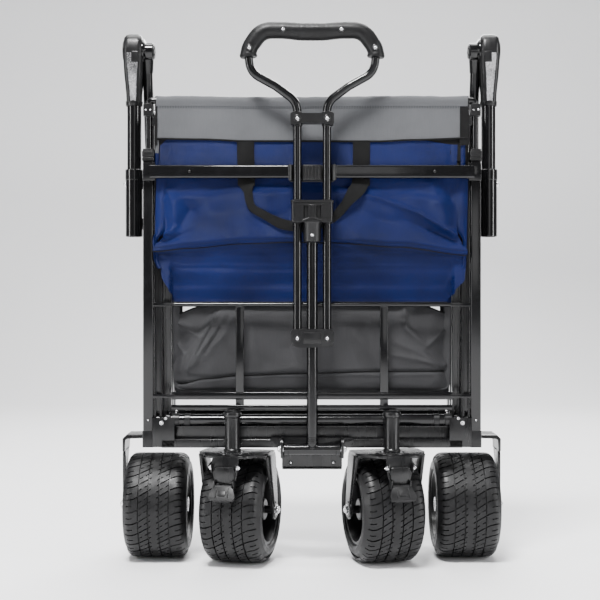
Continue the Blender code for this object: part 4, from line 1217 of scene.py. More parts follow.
def handle_plates():
    """The two brackets across the twin tubes, with their rivets."""
    low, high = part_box("handle_upper_bracket")
    bm = bmesh.new()
    outline = soft_outline([(low.x, low.z), (-0.015, low.z + 0.003), (0.015, low.z + 0.003),
                            (high.x, low.z),
                            (high.x, high.z), (0.015, high.z - 0.002), (-0.015, high.z - 0.002),
                            (low.x, high.z)], 0.003, 4)
    add_prism(bm, outline, low.y, high.y, ALONG_Y, 0.0016, 3)
    for sign in (-1.0, 1.0):
        collar = [(0.0031, -0.001), (0.0056, -0.001), (0.0053, 0.0008), (0.0045, 0.0012), (0.0033, 0.0006)]
        add_lathe(bm, collar, along((sign * TWIN_X, low.y, (low.z + high.z) / 2.0), (0, -1, 0)), 28)
        add_tube(bm, [(sign * TWIN_X, HANDLE_Y, low.z - 0.0012),
                      (sign * TWIN_X, HANDLE_Y, high.z + 0.0012)],
                 TWIN_RADIUS + 0.0012, 28, 0.0006)
    piece("handle_top_bridge", bm, PLASTIC, "pull_loop", ["handle_upper_bracket"])

    l_low, l_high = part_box("handle_lower_bracket")
    bm = bmesh.new()
    outline = soft_outline([(l_low.x, l_low.z + 0.003), (-0.018, l_low.z), (0.018, l_low.z),
                            (l_high.x, l_low.z + 0.003), (l_high.x, l_high.z),
                            (l_low.x, l_high.z)], 0.006, 5)
    add_prism(bm, outline, l_low.y, l_high.y, ALONG_Y, 0.0024, 3)
    add_block(bm, (-0.0135, l_low.y - 0.001, l_low.z + 0.006),
              (0.0135, l_low.y + 0.001, l_high.z - 0.005), 0.0009)
    for sign in (-1.0, 1.0):
        collar = [(0.003, -0.001), (0.0053, -0.001), (0.005, 0.0007), (0.0042, 0.001), (0.0032, 0.0005)]
        add_lathe(bm, collar, along((sign * TWIN_X, l_low.y, (l_low.z + l_high.z) / 2.0), (0, -1, 0)), 28)
    piece("handle_foot_bridge", bm, PLASTIC, "pull_loop", ["handle_lower_bracket"])

    bm = bmesh.new()
    for sign in (-1.0, 1.0):
        add_rivet(bm, (sign * TWIN_X, low.y, (low.z + high.z) / 2.0), (0, -1, 0), 0.0029, 0.0016, 20)
        add_rivet(bm, (sign * TWIN_X, l_low.y, (l_low.z + l_high.z) / 2.0), (0, -1, 0), 0.0028, 0.0015, 20)
    piece("handle_bridge_rivets", bm, STEEL, "pull_loop")


# ---- push handle -----------------------------------------------------------------------------
def push_handle():
    bar_low, bar_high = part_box("push_bar")
    hub_z = middle("hub_button_right").z
    for side, sign in SIDES:
        low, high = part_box("push_post_" + side)
        x = sign * PUSH_X
        start = math.asin(0.0046 / 0.0115)
        outline = []
        for k in range(41):
            angle = start + (2.0 * math.pi - 2.0 * start) * k / 40
            outline.append((x + sign * 0.0115 * math.cos(angle), REAR_Y + 0.0115 * math.sin(angle)))
        outline += [(x + sign * 0.0074, REAR_Y - 0.004), (x + sign * 0.0074, REAR_Y + 0.004)]
        piece("push_tube_" + side, made(add_prism, outline, low.z, high.z, ALONG_Z, 0.0005), BLACK,
              "push_posts", ["push_post_" + side])
        push_head(side, sign, hub_z)
        push_buttons(side, sign, hub_z)
    push_loop(bar_low, bar_high, hub_z)


KNUCKLE_HALF = 0.0158                # outer face of the knuckle, from the middle of its tube


def push_head(side, sign, hub_z):
    """Plastic knuckle: collar on the tube, tapered neck, round head with a recessed disc."""
    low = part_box("push_head_" + side)[0]
    x = sign * PUSH_X
    bm = bmesh.new()
    collar = [(0.0119, low.z - 0.006), (0.013, low.z - 0.006), (0.0135, low.z - 0.0052),
              (0.0135, low.z - 0.002), (0.0138, low.z - 0.0012), (0.0138, low.z + 0.002),
              (0.0119, low.z + 0.002)]
    add_lathe(bm, collar, Matrix.Translation((x, REAR_Y, 0.0)), 40)
    levels = ((0.0, 0.0118, 0.0125), (0.013, 0.0122, 0.0135), (0.03, 0.0132, 0.018),
              (0.045, 0.0144, 0.0215),
              (0.069, 0.0158, 0.0233), (0.083, 0.016, 0.0235), (0.095, 0.0158, 0.0222),
              (0.103, 0.0148, 0.0185),
              (0.1078, 0.0126, 0.013), (0.1098, 0.0095, 0.008))
    rings = []
    for rise, half_x, half_y in levels:
        ring = rounded(x - half_x, x + half_x, REAR_Y - half_y, REAR_Y + half_y, 0.55 * half_x, 6)
        rings.append([bm.verts.new((px, py, low.z + rise)) for px, py in ring])
    add_skin(bm, rings)
    for face in (-1.0, 1.0):
        add_block(bm, (x + sign * 0.002, REAR_Y + face * 0.0225, low.z + 0.062),
                  (x - sign * 0.0112, REAR_Y + face * 0.0252, low.z + 0.08), 0.0016, 3)
    outer = x + sign * KNUCKLE_HALF
    ring = [(0.0135, -0.001), (0.0175, -0.001), (0.0175, 0.0006), (0.0165, 0.0012), (0.0145, 0.0012),
            (0.0135, 0.0004)]
    add_lathe(bm, ring, along((outer, REAR_Y, hub_z), (sign, 0, 0)), 40)
    piece("push_knuckle_" + side, bm, PLASTIC, "push_posts", ["push_head_" + side])
    piece("push_knuckle_screws_" + side,
          made(add_rivet, (outer, REAR_Y, hub_z), (sign, 0, 0), 0.0042, 0.0016, 24), STEEL, "push_posts")
    bm = bmesh.new()
    for face in (-1.0, 1.0):
        rows = []
        for rise, half, depth in ((0.001, 0.0052, 0.0128), (0.02, 0.0062, 0.0158), (0.04, 0.0076, 0.0208),
                                  (0.056, 0.0088, 0.023), (0.069, 0.0096, 0.0236), (0.077, 0.0098, 0.0238)):
            at = [(px, REAR_Y + face * (depth + lift), low.z + rise)
                  for px, lift in ((x - half, -0.0012), (x - half + 0.0012, 0.0006),
                                   (x + half - 0.0012, 0.0006),
                                   (x + half, -0.0012))]
            rows.append([bm.verts.new(p) for p in at])
        add_skin(bm, rows)
    piece("push_knuckle_tongue_" + side, bm, STEEL, "push_posts")


def push_buttons(side, sign, hub_z):
    low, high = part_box("snap_button_" + side)
    inner, outer = sorted((abs(low.x), abs(high.x)))
    radius = (high.z - low.z) / 2.0
    bm = bmesh.new()
    profile = [(0.0, outer - inner), (radius * 0.55, outer - inner - 0.0003),
               (radius * 0.85, outer - inner - 0.0012),
               (radius, outer - inner - 0.0026), (radius, 0.0), (0.0, 0.0)]
    add_lathe(bm, profile, along((sign * inner, REAR_Y, middle("snap_button_" + side).z), (sign, 0, 0)), 28)
    piece("snap_pin_" + side, bm, STEEL, "snap_" + side, ["snap_button_" + side])
    low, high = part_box("hub_button_" + side)
    inner, outer = sorted((abs(low.x), abs(high.x)))
    radius = (high.z - low.z) / 2.0
    bm = bmesh.new()
    profile = [(0.0, 0.0), (radius - 0.0012, 0.0), (radius, 0.0012), (radius, outer - inner - 0.0012),
               (radius - 0.0012, outer - inner), (0.0, outer - inner)]
    add_lathe(bm, profile, along((sign * inner, REAR_Y, hub_z), (sign, 0, 0)), 40)
    for k in range(3):
        angle = 2.0 * math.pi * k / 3.0
        spot = (sign * inner, REAR_Y + 0.0058 * math.cos(angle), hub_z + 0.0058 * math.sin(angle))
        add_disc(bm, spot, (-sign, 0, 0), 0.0018, 0.0007, 0.0003, 14)
    piece("hub_pad_" + side, bm, PLASTIC, "hub_" + side, ["hub_button_" + side])


def push_loop(low, high, hub_z):
    """Bent bar hanging from its two hub discs, with a foam sleeve on its cross tube."""
    lean = math.radians(13.0)
    radius = 0.008
    bar_x = high.x - 0.011
    down = Vector((0.0, math.sin(lean), -math.cos(lean)))
    hub = Vector((0.0, REAR_Y, hub_z))
    start, end = hub + down * 0.016, hub + down * 0.178
    corners = [(-bar_x, *start.yz), (-bar_x, *end.yz), (bar_x, *end.yz), (bar_x, *start.yz)]
    bm = bmesh.new()
    add_tube(bm, filleted(corners, 0.03, 10), radius, 28)
    profile = [(0.0121, -0.0105), (0.0134, -0.0105), (0.0142, -0.0096), (0.0142, 0.001), (0.018, 0.003),
               (0.0197, 0.004), (0.02, 0.005), (0.02, 0.0102), (0.0192, 0.011), (0.0121, 0.011)]
    for sign in (-1.0, 1.0):
        add_lathe(bm, profile, along((sign * bar_x, REAR_Y, hub_z), (sign, 0, 0)), 44)
        at = Vector((sign * bar_x, REAR_Y, hub_z)) + down * 0.012
        add_tube(bm, [at, at + down * 0.022], [0.0105, 0.0088], 28)
    piece("push_loop_tube", bm, BLACK, "push_bar", ["push_bar"])
    bm = bmesh.new()
    span = 0.195
    line = [(-span + 2.0 * span * k / 120.0, end.y, end.z) for k in range(121)]
    radii = []
    for k in range(121):
        edge = min(k, 120 - k) / 120.0 * 2.0 * span
        swell = 0.0117 if edge > 0.006 else 0.0124
        radii.append(0.0098 if edge < 0.0005 else swell - 0.0003 * (k % 2))
    add_tube(bm, line, radii, 32)
    piece("push_foam_sleeve", bm, GRIP, "push_bar", (), 50.0)


# ---- bag -------------------------------------------------------------------------------------
HEM_RADIUS = 0.008                   # the band's turn over the rail
BAND_LOW = 0.655                     # foot of the grey band
BAND_HALF = 0.2405                   # half the width of the band
CLOTH_THICK = 0.0012
LOWER_EDGE = 0.406                   # foot of the blue wall
FACE_Y = FRONT_Y - 0.0058       # where the band hangs, just behind the crossbar's back face


def at_end(point, forward):
    """A place given for the front wall, or its mirror image on the rear wall."""
    x, y, z = point
    return Vector((x, y, z)) if forward > 0 else Vector((x, 2.0 * MID_Y - y, z))


def add_sheet(bm, surface, columns, rows, thick=CLOTH_THICK):
    """Closed cloth: surface(u, v) is one face, u and v from 0 to 1; the other lies thick behind it."""
    grid = [[surface(i / columns, j / rows) for i in range(columns + 1)] for j in range(rows + 1)]
    sides = []
    for shift in (0.0, thick):
        layer = []
        for j in range(rows + 1):
            line = []
            for i in range(columns + 1):
                along_u = grid[j][min(i + 1, columns)] - grid[j][max(i - 1, 0)]
                along_v = grid[min(j + 1, rows)][i] - grid[max(j - 1, 0)][i]
                normal = along_u.cross(along_v)
                normal = normal.normalized() if normal.length > 1e-12 else Vector((0.0, 1.0, 0.0))
                line.append(bm.verts.new(grid[j][i] + normal * shift))
            layer.append(line)
        sides.append(layer)
    front, back = sides
    for j in range(rows):
        for i in range(columns):
            bm.faces.new((front[j][i], front[j][i + 1], front[j + 1][i + 1], front[j + 1][i]))
            bm.faces.new((back[j][i], back[j + 1][i], back[j + 1][i + 1], back[j][i + 1]))
    rim = [(0, i) for i in range(columns)] + [(j, columns) for j in range(rows)]
    rim += [(rows, i) for i in range(columns, 0, -1)] + [(j, 0) for j in range(rows, 0, -1)]
    for a, b in zip(rim, rim[1:] + rim[:1]):
        bm.faces.new((front[a[0]][a[1]], back[a[0]][a[1]], back[b[0]][b[1]], front[b[0]][b[1]]))


def wave(x, z, scale, seed):
    return noise.noise(Vector((x * scale, z * scale, seed)))


def ridge(x, z, points, width, height):
    """Fold along (x, z, strength) points, rounded over its crest; positive height stands forward."""
    best = 0.0
    for (x0, z0, s0), (x1, z1, s1) in zip(points, points[1:]):
        dx, dz = x1 - x0, z1 - z0
        t = ((x - x0) * dx + (z - z0) * dz) / (dx * dx + dz * dz)
        t = min(1.0, max(0.0, t))
        away = math.hypot(x - x0 - t * dx, z - z0 - t * dz)
        if away < 5.0 * width:
            share = s0 + (s1 - s0) * t
            soft = math.hypot(away, 0.45 * width) - 0.45 * width
            best = max(best, share * math.exp(-soft / width))
    return -height * best


def folds(x, z, table):
    return sum(ridge(x, z, points, width, height) for points, width, height in table)


def band_surface(forward):
    """Grey band: from behind the rail, over it, and down in front."""
    arc = [(FRONT_Y + HEM_RADIUS, RAIL_Z - 0.0045)]
    for k in range(9):
        angle = math.radians(180.0 * k / 8)
        arc.append((FRONT_Y + HEM_RADIUS * math.cos(angle), RAIL_Z - 0.0005 + HEM_RADIUS * math.sin(angle)))
    arc += [(FACE_Y, RAIL_Z - 0.012 - (RAIL_Z - 0.012 - BAND_LOW) * k / 8.0) for k in range(9)]
    line = even_path([(0.0, y, z) for y, z in arc], 0.0025)
    hem = [(-BAND_HALF, 0.0042), (-0.17, 0.003), (-0.1, 0.0004), (0.1, 0.0), (0.16, 0.0024),
           (BAND_HALF, 0.0048)]

    def surface(u, v):
        x = -BAND_HALF + 2.0 * BAND_HALF * u
        place = v * (len(line) - 1)
        i = min(int(place), len(line) - 2)
        point = line[i].lerp(line[i + 1], place - i)
        ripple = 0.0007 * wave(x, 0.0, 22.0, 3.0) + 0.0005 * wave(x, point.z, 60.0, 5.0)
        drop = smooth(0.72, 0.7, point.z)
        y = point.y - 0.0002 + drop * (0.0006 * wave(x, point.z, 30.0, 9.0) + 0.0003)
        low = smooth(RAIL_Z - 0.012, BAND_LOW, point.z) if point.y < FRONT_Y else 0.0
        z = point.z + (1.0 - drop) * ripple * 1.3 + low * through(hem, x)
        z -= 0.0016 * smooth(0.3, 0.1, abs(u - 0.42)) * (1.0 - drop)
        return at_end((x, y, z), forward)

    return surface


def seam_z(x):
    """Height of the seam across the front wall: it hangs lower at both ends."""
    return through([(-0.24, 0.4838), (-0.19, 0.4885), (-0.103, 0.4955), (-0.03, 0.498),
                    (0.03, 0.497), (0.13, 0.4905), (0.24, 0.478)], x)


def upper_edges(z):
    """Left and right edge of the upper panel at each height."""
    left = through([(0.483, 0.244), (0.501, 0.2455), (0.508, 0.2425), (0.518, 0.229), (0.53, 0.2262),
                    (0.58, 0.23), (0.593, 0.224), (0.605, 0.226), (0.618, 0.236), (0.66, 0.235)], z)
    right = through([(0.478, 0.2385), (0.505, 0.239), (0.515, 0.23), (0.526, 0.2232), (0.61, 0.2232),
                     (0.66, 0.225)], z)
    return left, right


def lower_edges(z):
    left = through([(0.409, 0.215), (0.459, 0.2331), (0.49, 0.2385)], z)
    right = through([(0.409, 0.211), (0.425, 0.22), (0.453, 0.2363), (0.49, 0.2385)], z)
    return left, right


UPPER_FOLDS = (
    (((-0.245, 0.5, 1.0), (-0.225, 0.5125, 1.0), (-0.208, 0.5235, 0.15)), 0.003, 0.0042),
    (((-0.243, 0.4965, 0.6), (-0.214, 0.505, 1.0), (-0.188, 0.515, 0.2)), 0.004, -0.0042),
    (((-0.245, 0.502, 0.8), (-0.23, 0.515, 1.0), (-0.2275, 0.533, 0.2)), 0.0022, 0.0028),
    (((-0.201, 0.57, 0.2), (-0.188, 0.548, 1.0), (-0.201, 0.526, 0.7)), 0.009, -0.0058),
    (((-0.225, 0.582, 0.8), (-0.215, 0.556, 1.0), (-0.215, 0.53, 0.6)), 0.008, 0.0036),
    (((-0.175, 0.59, 0.3), (-0.155, 0.55, 0.7), (-0.1, 0.518, 0.2)), 0.016, 0.0034),
    (((0.09, 0.572, 0.2), (0.164, 0.5435, 0.8), (0.2, 0.522, 1.0), (0.22, 0.511, 1.0),
      (0.24, 0.5, 0.5)), 0.0038, 0.0056),
    (((0.14, 0.536, 0.3), (0.19, 0.5145, 1.0), (0.218, 0.502, 0.8)), 0.006, -0.0052),
    (((0.206, 0.517, 0.2), (0.216, 0.517, 1.0), (0.236, 0.506, 1.0)), 0.0018, 0.0024),
    (((0.045, 0.56, 0.3), (0.1, 0.535, 1.0), (0.15, 0.525, 0.2)), 0.014, -0.004),
    (((-0.03, 0.548, 0.8), (-0.09, 0.525, 0.5), (-0.14, 0.514, 0.2)), 0.014, -0.0026),
    (((0.185, 0.59, 0.8), (0.195, 0.56, 1.0), (0.205, 0.54, 0.4)), 0.009, 0.0032),
    (((-0.13, 0.585, 0.5), (-0.07, 0.57, 0.8), (-0.02, 0.575, 0.3)), 0.011, 0.0024),
)
LOWER_FOLDS = (
    (((0.055, 0.492, 1.0), (0.095, 0.465, 0.8), (0.15, 0.435, 0.2)), 0.015, 0.0026),
    (((-0.08, 0.49, 1.0), (-0.05, 0.46, 0.7), (-0.04, 0.42, 0.3)), 0.013, -0.0022),
    (((-0.23, 0.479, 1.0), (-0.205, 0.46, 0.7), (-0.16, 0.445, 0.1)), 0.005, 0.0022),
    (((0.225, 0.474, 1.0), (0.22, 0.455, 0.8), (0.21, 0.43, 0.3)), 0.004, 0.0026),
    (((-0.15, 0.488, 0.6), (-0.13, 0.45, 0.6), (-0.15, 0.415, 0.5)), 0.014, 0.002),
)


def clear_of_frame(x, y, near=0.008):
    """Keep cloth in front of the scissor bars, and further forward in front of the posts."""
    y = y + smooth(BAR_IN - near, BAR_IN - 0.0008, abs(x)) * (min(y, BAR_FRONT - 0.0022) - y)
    return y + smooth(0.2425, 0.2436, abs(x)) * (min(y, FRONT_Y - POST_HALF - 0.0018) - y)


def upper_panel_y(x, z):
    """Depth of the upper panel: tight behind the crossbar, full below it, rolled at its foot."""
    rise = z - seam_z(x)
    flat = through([(-0.001, -0.0405), (0.004, -0.0452), (0.011, -0.047), (0.045, -0.0452),
                    (0.076, -0.0424),
                    (0.093, -0.0374), (0.122, -0.0364), (0.162, -0.0348)], rise)
    left, right = upper_edges(z)
    inside = min(x + left, right - x)
    below = smooth(0.602, 0.575, z)
    y = flat + (0.35 + 0.65 * below) * 0.0062 * smooth(0.022, 0.0, inside) * smooth(0.0, 0.03, rise)
    soft = 0.0034 * wave(x, z, 10.0, 2.0) + 0.001 * wave(x, z, 30.0, 7.0) + 1.55 * folds(x, z, UPPER_FOLDS)
    y += soft * smooth(0.608, 0.588, z) * smooth(-0.001, 0.005, rise)
    y = max(y, -0.046 - 0.008 * smooth(0.06, 0.12, abs(x)))
    return clear_of_frame(x, y)


def lower_panel_y(x, z):
    """Depth of the blue foot: it leans back under the seam to pass behind the guard."""
    flat = through([(0.409, -0.019), (0.43, -0.0225), (0.456, -0.0285), (0.465, -0.0305), (0.48, -0.0345),
                    (0.498, -0.04)], z)
    soft = 0.002 * wave(x, z, 12.0, 31.0) + 0.0007 * wave(x, z, 33.0, 33.0) + 1.2 * folds(x, z, LOWER_FOLDS)
    y = flat + soft * smooth(0.408, 0.44, z)
    if z < 0.464 and abs(x) < BAR_IN - 0.0032:
        y = max(y, GRILLE_BACK + 0.0006 - 0.5 * max(0.0, z - 0.46))
    return clear_of_frame(x, y, 0.0032 + 0.005 * smooth(0.46, 0.475, z))


def panel_surface(depth, edges, low, high, forward):
    """Panel between its left and right edges; low and high give its height at each x."""
    def surface(u, v):
        left, right = edges(high(0.0) + (low(0.0) - high(0.0)) * v)
        x = -left + (left + right) * u
        z = high(x) + (low(x) - high(x)) * v
        return at_end((x, depth(x, z), z), forward)

    return surface


def side_fold(forward):
    """Edge of the side wall, drawn forward beside the front wall down to the pinched corners."""
    def surface(sign):
        def place(u, v):
            z = 0.602 + (0.459 - 0.602) * v
            if sign < 0:
                outer = through([(0.44, 0.23), (0.475, 0.244), (0.501, 0.2455), (0.515, 0.2425),
                                 (0.602, 0.2405)], z)
            else:
                outer = through([(0.44, 0.23), (0.47, 0.2385), (0.505, 0.2395), (0.602, 0.2415)], z)
            inner = outer - 0.006 - 0.0125 * smooth(0.5, 0.525, z)
            x = sign * (inner + (outer - inner) * u)
            y = BAR_FRONT - 0.002 - 0.0022 * math.sin(math.pi * u) + 0.0008 * wave(x, z, 60.0, 80.0)
            return at_end((x, clear_of_frame(x, y), z), forward)

        return place

    return [surface(-1.0), surface(1.0)]


FLOOR_FOLDS = (
    (((-0.148, 0.39, 0.6), (-0.165, 0.36, 1.0), (-0.195, 0.302, 0.8)), 0.005, 0.0062),
    (((-0.136, 0.386, 0.5), (-0.15, 0.36, 1.0), (-0.188, 0.31, 0.8)), 0.0046, 0.005),
    (((-0.124, 0.38, 0.4), (-0.142, 0.35, 0.8), (-0.174, 0.316, 0.3)), 0.006, 0.0036),
    (((-0.157, 0.37, 1.0), (-0.18, 0.325, 0.8)), 0.0034, -0.0044),
    (((-0.143, 0.368, 1.0), (-0.168, 0.328, 0.8)), 0.0034, -0.004),
    (((-0.208, 0.373, 1.0), (-0.176, 0.352, 0.8)), 0.0028, 0.0042),
    (((-0.21, 0.34, 0.8), (-0.2, 0.325, 1.0), (-0.206, 0.3, 0.6)), 0.0026, 0.0044),
    (((0.145, 0.396, 0.8), (0.148, 0.365, 1.0), (0.18, 0.338, 1.0), (0.206, 0.362, 0.6)), 0.0036, 0.0056),
    (((0.208, 0.307, 1.0), (0.16, 0.318, 0.8), (0.115, 0.326, 0.2)), 0.004, 0.0046),
    (((0.208, 0.309, 1.0), (0.155, 0.333, 0.8), (0.12, 0.348, 0.2)), 0.0046, 0.004),
    (((-0.03, 0.382, 0.4), (-0.035, 0.335, 1.0), (-0.02, 0.31, 0.3)), 0.01, -0.0034),
    (((0.05, 0.37, 0.4), (0.08, 0.34, 1.0), (0.1, 0.31, 0.3)), 0.01, 0.003),
    (((-0.1, 0.39, 0.5), (-0.09, 0.35, 0.9), (-0.105, 0.315, 0.3)), 0.011, 0.0028),
    (((-0.07, 0.3, 0.5), (0.0, 0.305, 0.8), (0.08, 0.3, 0.5)), 0.009, 0.0026),
)


def floor_seam(x):
    """Height of the sewn seam near the foot of the folded floor."""
    return through([(-0.205, 0.279), (-0.167, 0.287), (-0.11, 0.292), (-0.02, 0.295), (0.1, 0.298),
                    (0.208, 0.2985)], x)


def floor_y(x, z):
    """Front of the folded floor: padded boards in cloth, pressed into creases, tucked at its corners."""
    puff = smooth(0.0, 0.03, 0.215 - abs(x)) * smooth(0.404, 0.385, z)
    y = FLOOR_LOW.y + 0.004 - 0.005 * puff
    y += 0.0022 * wave(x, z, 12.0, 40.0) + 0.0008 * wave(x, z, 38.0, 44.0)
    y += folds(x, z, FLOOR_FOLDS)
    tuck = smooth(0.0, 0.012, (x - 0.143) * 0.75 - abs(z - 0.38) * 0.55 + 0.006)
    tuck += smooth(0.0, 0.012, (-0.164 - x) * 0.8 + (z - 0.364) * 0.7)
    y += 0.006 * min(1.0, tuck)
    y += 0.0034 * math.exp(-((z - floor_seam(x)) / 0.0026) ** 2)
    roll = smooth(0.29, 0.262, z)
    nearest = FRONT_Y + 0.009 + 0.0068 * smooth(0.305, 0.288, z)
    return max(y + 0.002 * roll, nearest)


def floor_surface(forward):
    def surface(u, v):
        half = (FLOOR_HIGH.x + 0.0062) * (1.0 - 0.012 * smooth(0.6, 1.0, v))
        x = -half + 2.0 * half * u
        top = through([(-0.214, 0.388), (-0.175, 0.399), (-0.14, 0.403), (0.14, 0.403), (0.175, 0.4),
                       (0.214, 0.389)], x)
        z = top + (FLOOR_LOW.z - top) * v
        roll = 0.01 * smooth(0.9, 1.0, v) ** 2
        return at_end((x, floor_y(x, z) + roll, z), forward)

    return surface


def add_cord_line(bm, surface, v, radius, shift, columns=150):
    """Thin round piping along one row of a wall."""
    line = [surface(k / columns, v) + shift for k in range(columns + 1)]
    add_tube(bm, line, radius, 10, radius * 0.4)


def add_stitches(bm, point_at, length, pitch=0.004, radius=0.0003):
    """Row of raised stitches along a seam; point_at(share) gives the line."""
    count = int(length / pitch)
    for k in range(count):
        a = point_at((k + 0.18) / count)
        b = point_at((k + 0.82) / count)
        add_tube(bm, [a, a.lerp(b, 0.3), a.lerp(b, 0.7), b],
                 [radius * 0.5, radius, radius, radius * 0.5], 6)


def cloth_piece(name, surface, grid, thick, finish, body, nodes=(), sheets=None):
    """Sheet of cloth made over its surface, with the size it was cut to measured along the cloth."""
    columns, rows = grid
    bm = bmesh.new()
    for face in sheets or [surface]:
        add_sheet(bm, face, columns, rows, thick)
        points = [[face(i / columns, j / rows) for i in range(columns + 1)] for j in range(rows + 1)]
        for low_row, high_row in zip(points, points[1:]):
            for a, b, c, d in zip(low_row, low_row[1:], high_row[1:], high_row):
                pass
        width = max(sum((b - a).length for a, b in zip(row, row[1:])) for row in points)
    obj = piece(name, bm, finish, body, nodes, 60.0)
    return obj


def walls():
    """Front and rear walls: grey band over the rail, blue panel, blue foot, folded floor."""
    for end, forward, _ in ENDS:
        body = end + "_top"
        out = Vector((0.0, -0.0002 * forward, 0.0))
        band = band_surface(forward)
        band_piece = end + "_band"
        cloth_piece(band_piece, band, (150, 34), CLOTH_THICK, GREY, body)
        inner = wall_surface(FRONT_Y + HEM_RADIUS - 0.0004, 0.6, RAIL_Z - 0.006, 0.23, forward)
        cloth_piece(end + "_lining", inner, (60, 20), CLOTH_THICK, DARK, body)
        backing = wall_surface(FRONT_Y - 0.0034, 0.625, 0.69, 0.2385, forward)
        cloth_piece(end + "_backing", backing, (60, 12), 0.0008, WEBBING, body)
        upper = panel_surface(upper_panel_y, upper_edges, seam_z, panel_top, forward)
        upper_name = end + "_upper_panel"
        cloth_piece(upper_name, upper, (220, 84), 0.0014, BLUE, body,
                    [f"bag_{end}_wall"])
        lower = panel_surface(lower_panel_y, lower_edges, lambda x: LOWER_EDGE,
                              lambda x: seam_z(x) + 0.0012,
                              forward)
        cloth_piece(end + "_lower_panel", lower, (180, 44), 0.0012, BLUE, body)
        left, right = side_fold(forward)
        cloth_piece(end + "_side_folds", left, (14, 70), 0.0008, BLUE, body, (),
                    [left, right])
        floor = floor_surface(forward)
        cloth_piece(end + "_floor_fold", floor, (220, 76), 0.0016, DARK, body,
                    ["bag_floor"] if forward > 0 else ())
        bm = bmesh.new()
        add_cord_line(bm, band, 1.0, 0.0015, out * 2.0)
        add_cord_line(bm, upper, 0.995, 0.0008, out * 5.0, 200)
        add_cord_line(bm, lower, 1.0, 0.0014, out * 2.0, 120)
        add_cord_line(bm, floor, 0.0, 0.0013, out, 120)
        line = [at_end((x, floor_y(x, floor_seam(x)) - 0.0006, floor_seam(x)), forward)
                for x in [-0.206 + 0.412 * k / 140.0 for k in range(141)]]
        add_tube(bm, line, 0.0009, 8)
        piece(end + "_piping", bm, WEBBING, body, (), 60.0)
        bm = bmesh.new()
        for v in (0.415, 0.44):
            add_stitches(bm, lambda t, v=v: band(t, v) + out, 2.0 * BAND_HALF)
        add_stitches(bm, lambda t: upper(t, 0.955) + out, 0.46)
        add_stitches(bm, lambda t: lower(t, 0.07) + out, 0.46)
        piece(end + "_stitches", bm, THREAD, body, (), 60.0)
        bindings(end, forward)


def panel_top(x):
    """Visible top edge of the blue panel: rounded at its left end, lower at its right end."""
    return 0.659 - 0.009 * smooth(0.15, 0.225, x) - 0.01 * smooth(-0.223, -0.235, x)


def wall_surface(y, low, high, half, forward):
    def surface(u, v):
        x = -half + 2.0 * half * u
        z = high + (low - high) * v
        return at_end((x, y + 0.0005 * wave(x, z, 20.0, 90.0), z), forward)

    return surface


STRIPS = (("strip_grey", GREY, ((-1.0, 0.657, 0.637),)),
          ("strip_blue", BLUE, ((-1.0, 0.637, 0.6), (1.0, 0.657, 0.6))))


def side_strip(sign, high, low, forward):
    """Narrow cloth beside the panel, in front of the scissor bars."""
    def surface(u, v):
        z = high + (low - high) * v
        inner = 0.23 if sign > 0 else 0.2372
        outer = 0.2372 if sign > 0 else 0.2424 - 0.002 * smooth(0.64, 0.657, z)
        x = sign * (inner + (outer - inner) * u)
        return at_end((x, BAR_FRONT - 0.0014 - 0.001 * math.sin(math.pi * u), z), forward)

    return surface


def bindings(end, forward):
    """Black webbing sewn up the two ends of the band, and the side strips beside the panel."""
    body = end + "_top"
    face_y = FACE_Y + (-0.0006 if end == "front" else 0.0005)
    bm = bmesh.new()
    for x0, x1 in ((-0.2425, -0.2388), (0.2285, 0.2425)):
        def tape(u, v, x0=x0, x1=x1):
            z = RAIL_Z + 0.0066 - (RAIL_Z - BAND_LOW + 0.013) * v
            over = smooth(0.12, 0.0, v)
            y = face_y + over * 0.0046 + 0.0003 * wave(x0, z, 40.0, 50.0)
            return at_end((x0 + (x1 - x0) * u, y, z + 0.0008 * u), forward)

        add_sheet(bm, tape, 12, 40, 0.0011)
    piece(end + "_band_binding", bm, WEBBING, body, (), 60.0)
    for name, finish, parts in STRIPS:
        strips = [side_strip(sign, high, low, forward) for sign, high, low in parts]
        cloth_piece(f"{end}_{name}", strips[0], (6, 16), 0.0008, finish, body, (),
                    strips)


def add_ribbon(bm, path, facing, width, depth=None):
    """Flat webbing along a path; facing gives the direction its face looks at each point."""
    rings = []
    depth = depth or [0.0014] * len(path)
    for (point, tangent, _, _), look, wide, thick in zip(frames_along(path), facing, width, depth):
        look = (Vector(look) - tangent * Vector(look).dot(tangent)).normalized()
        across = tangent.cross(look)
        ring = []
        for a, b in rounded(-wide / 2.0, wide / 2.0, -thick / 2.0, thick / 2.0, thick * 0.45, 2):
            ring.append(bm.verts.new(point + across * a + look * b))
        rings.append(ring)
    add_skin(bm, rings)


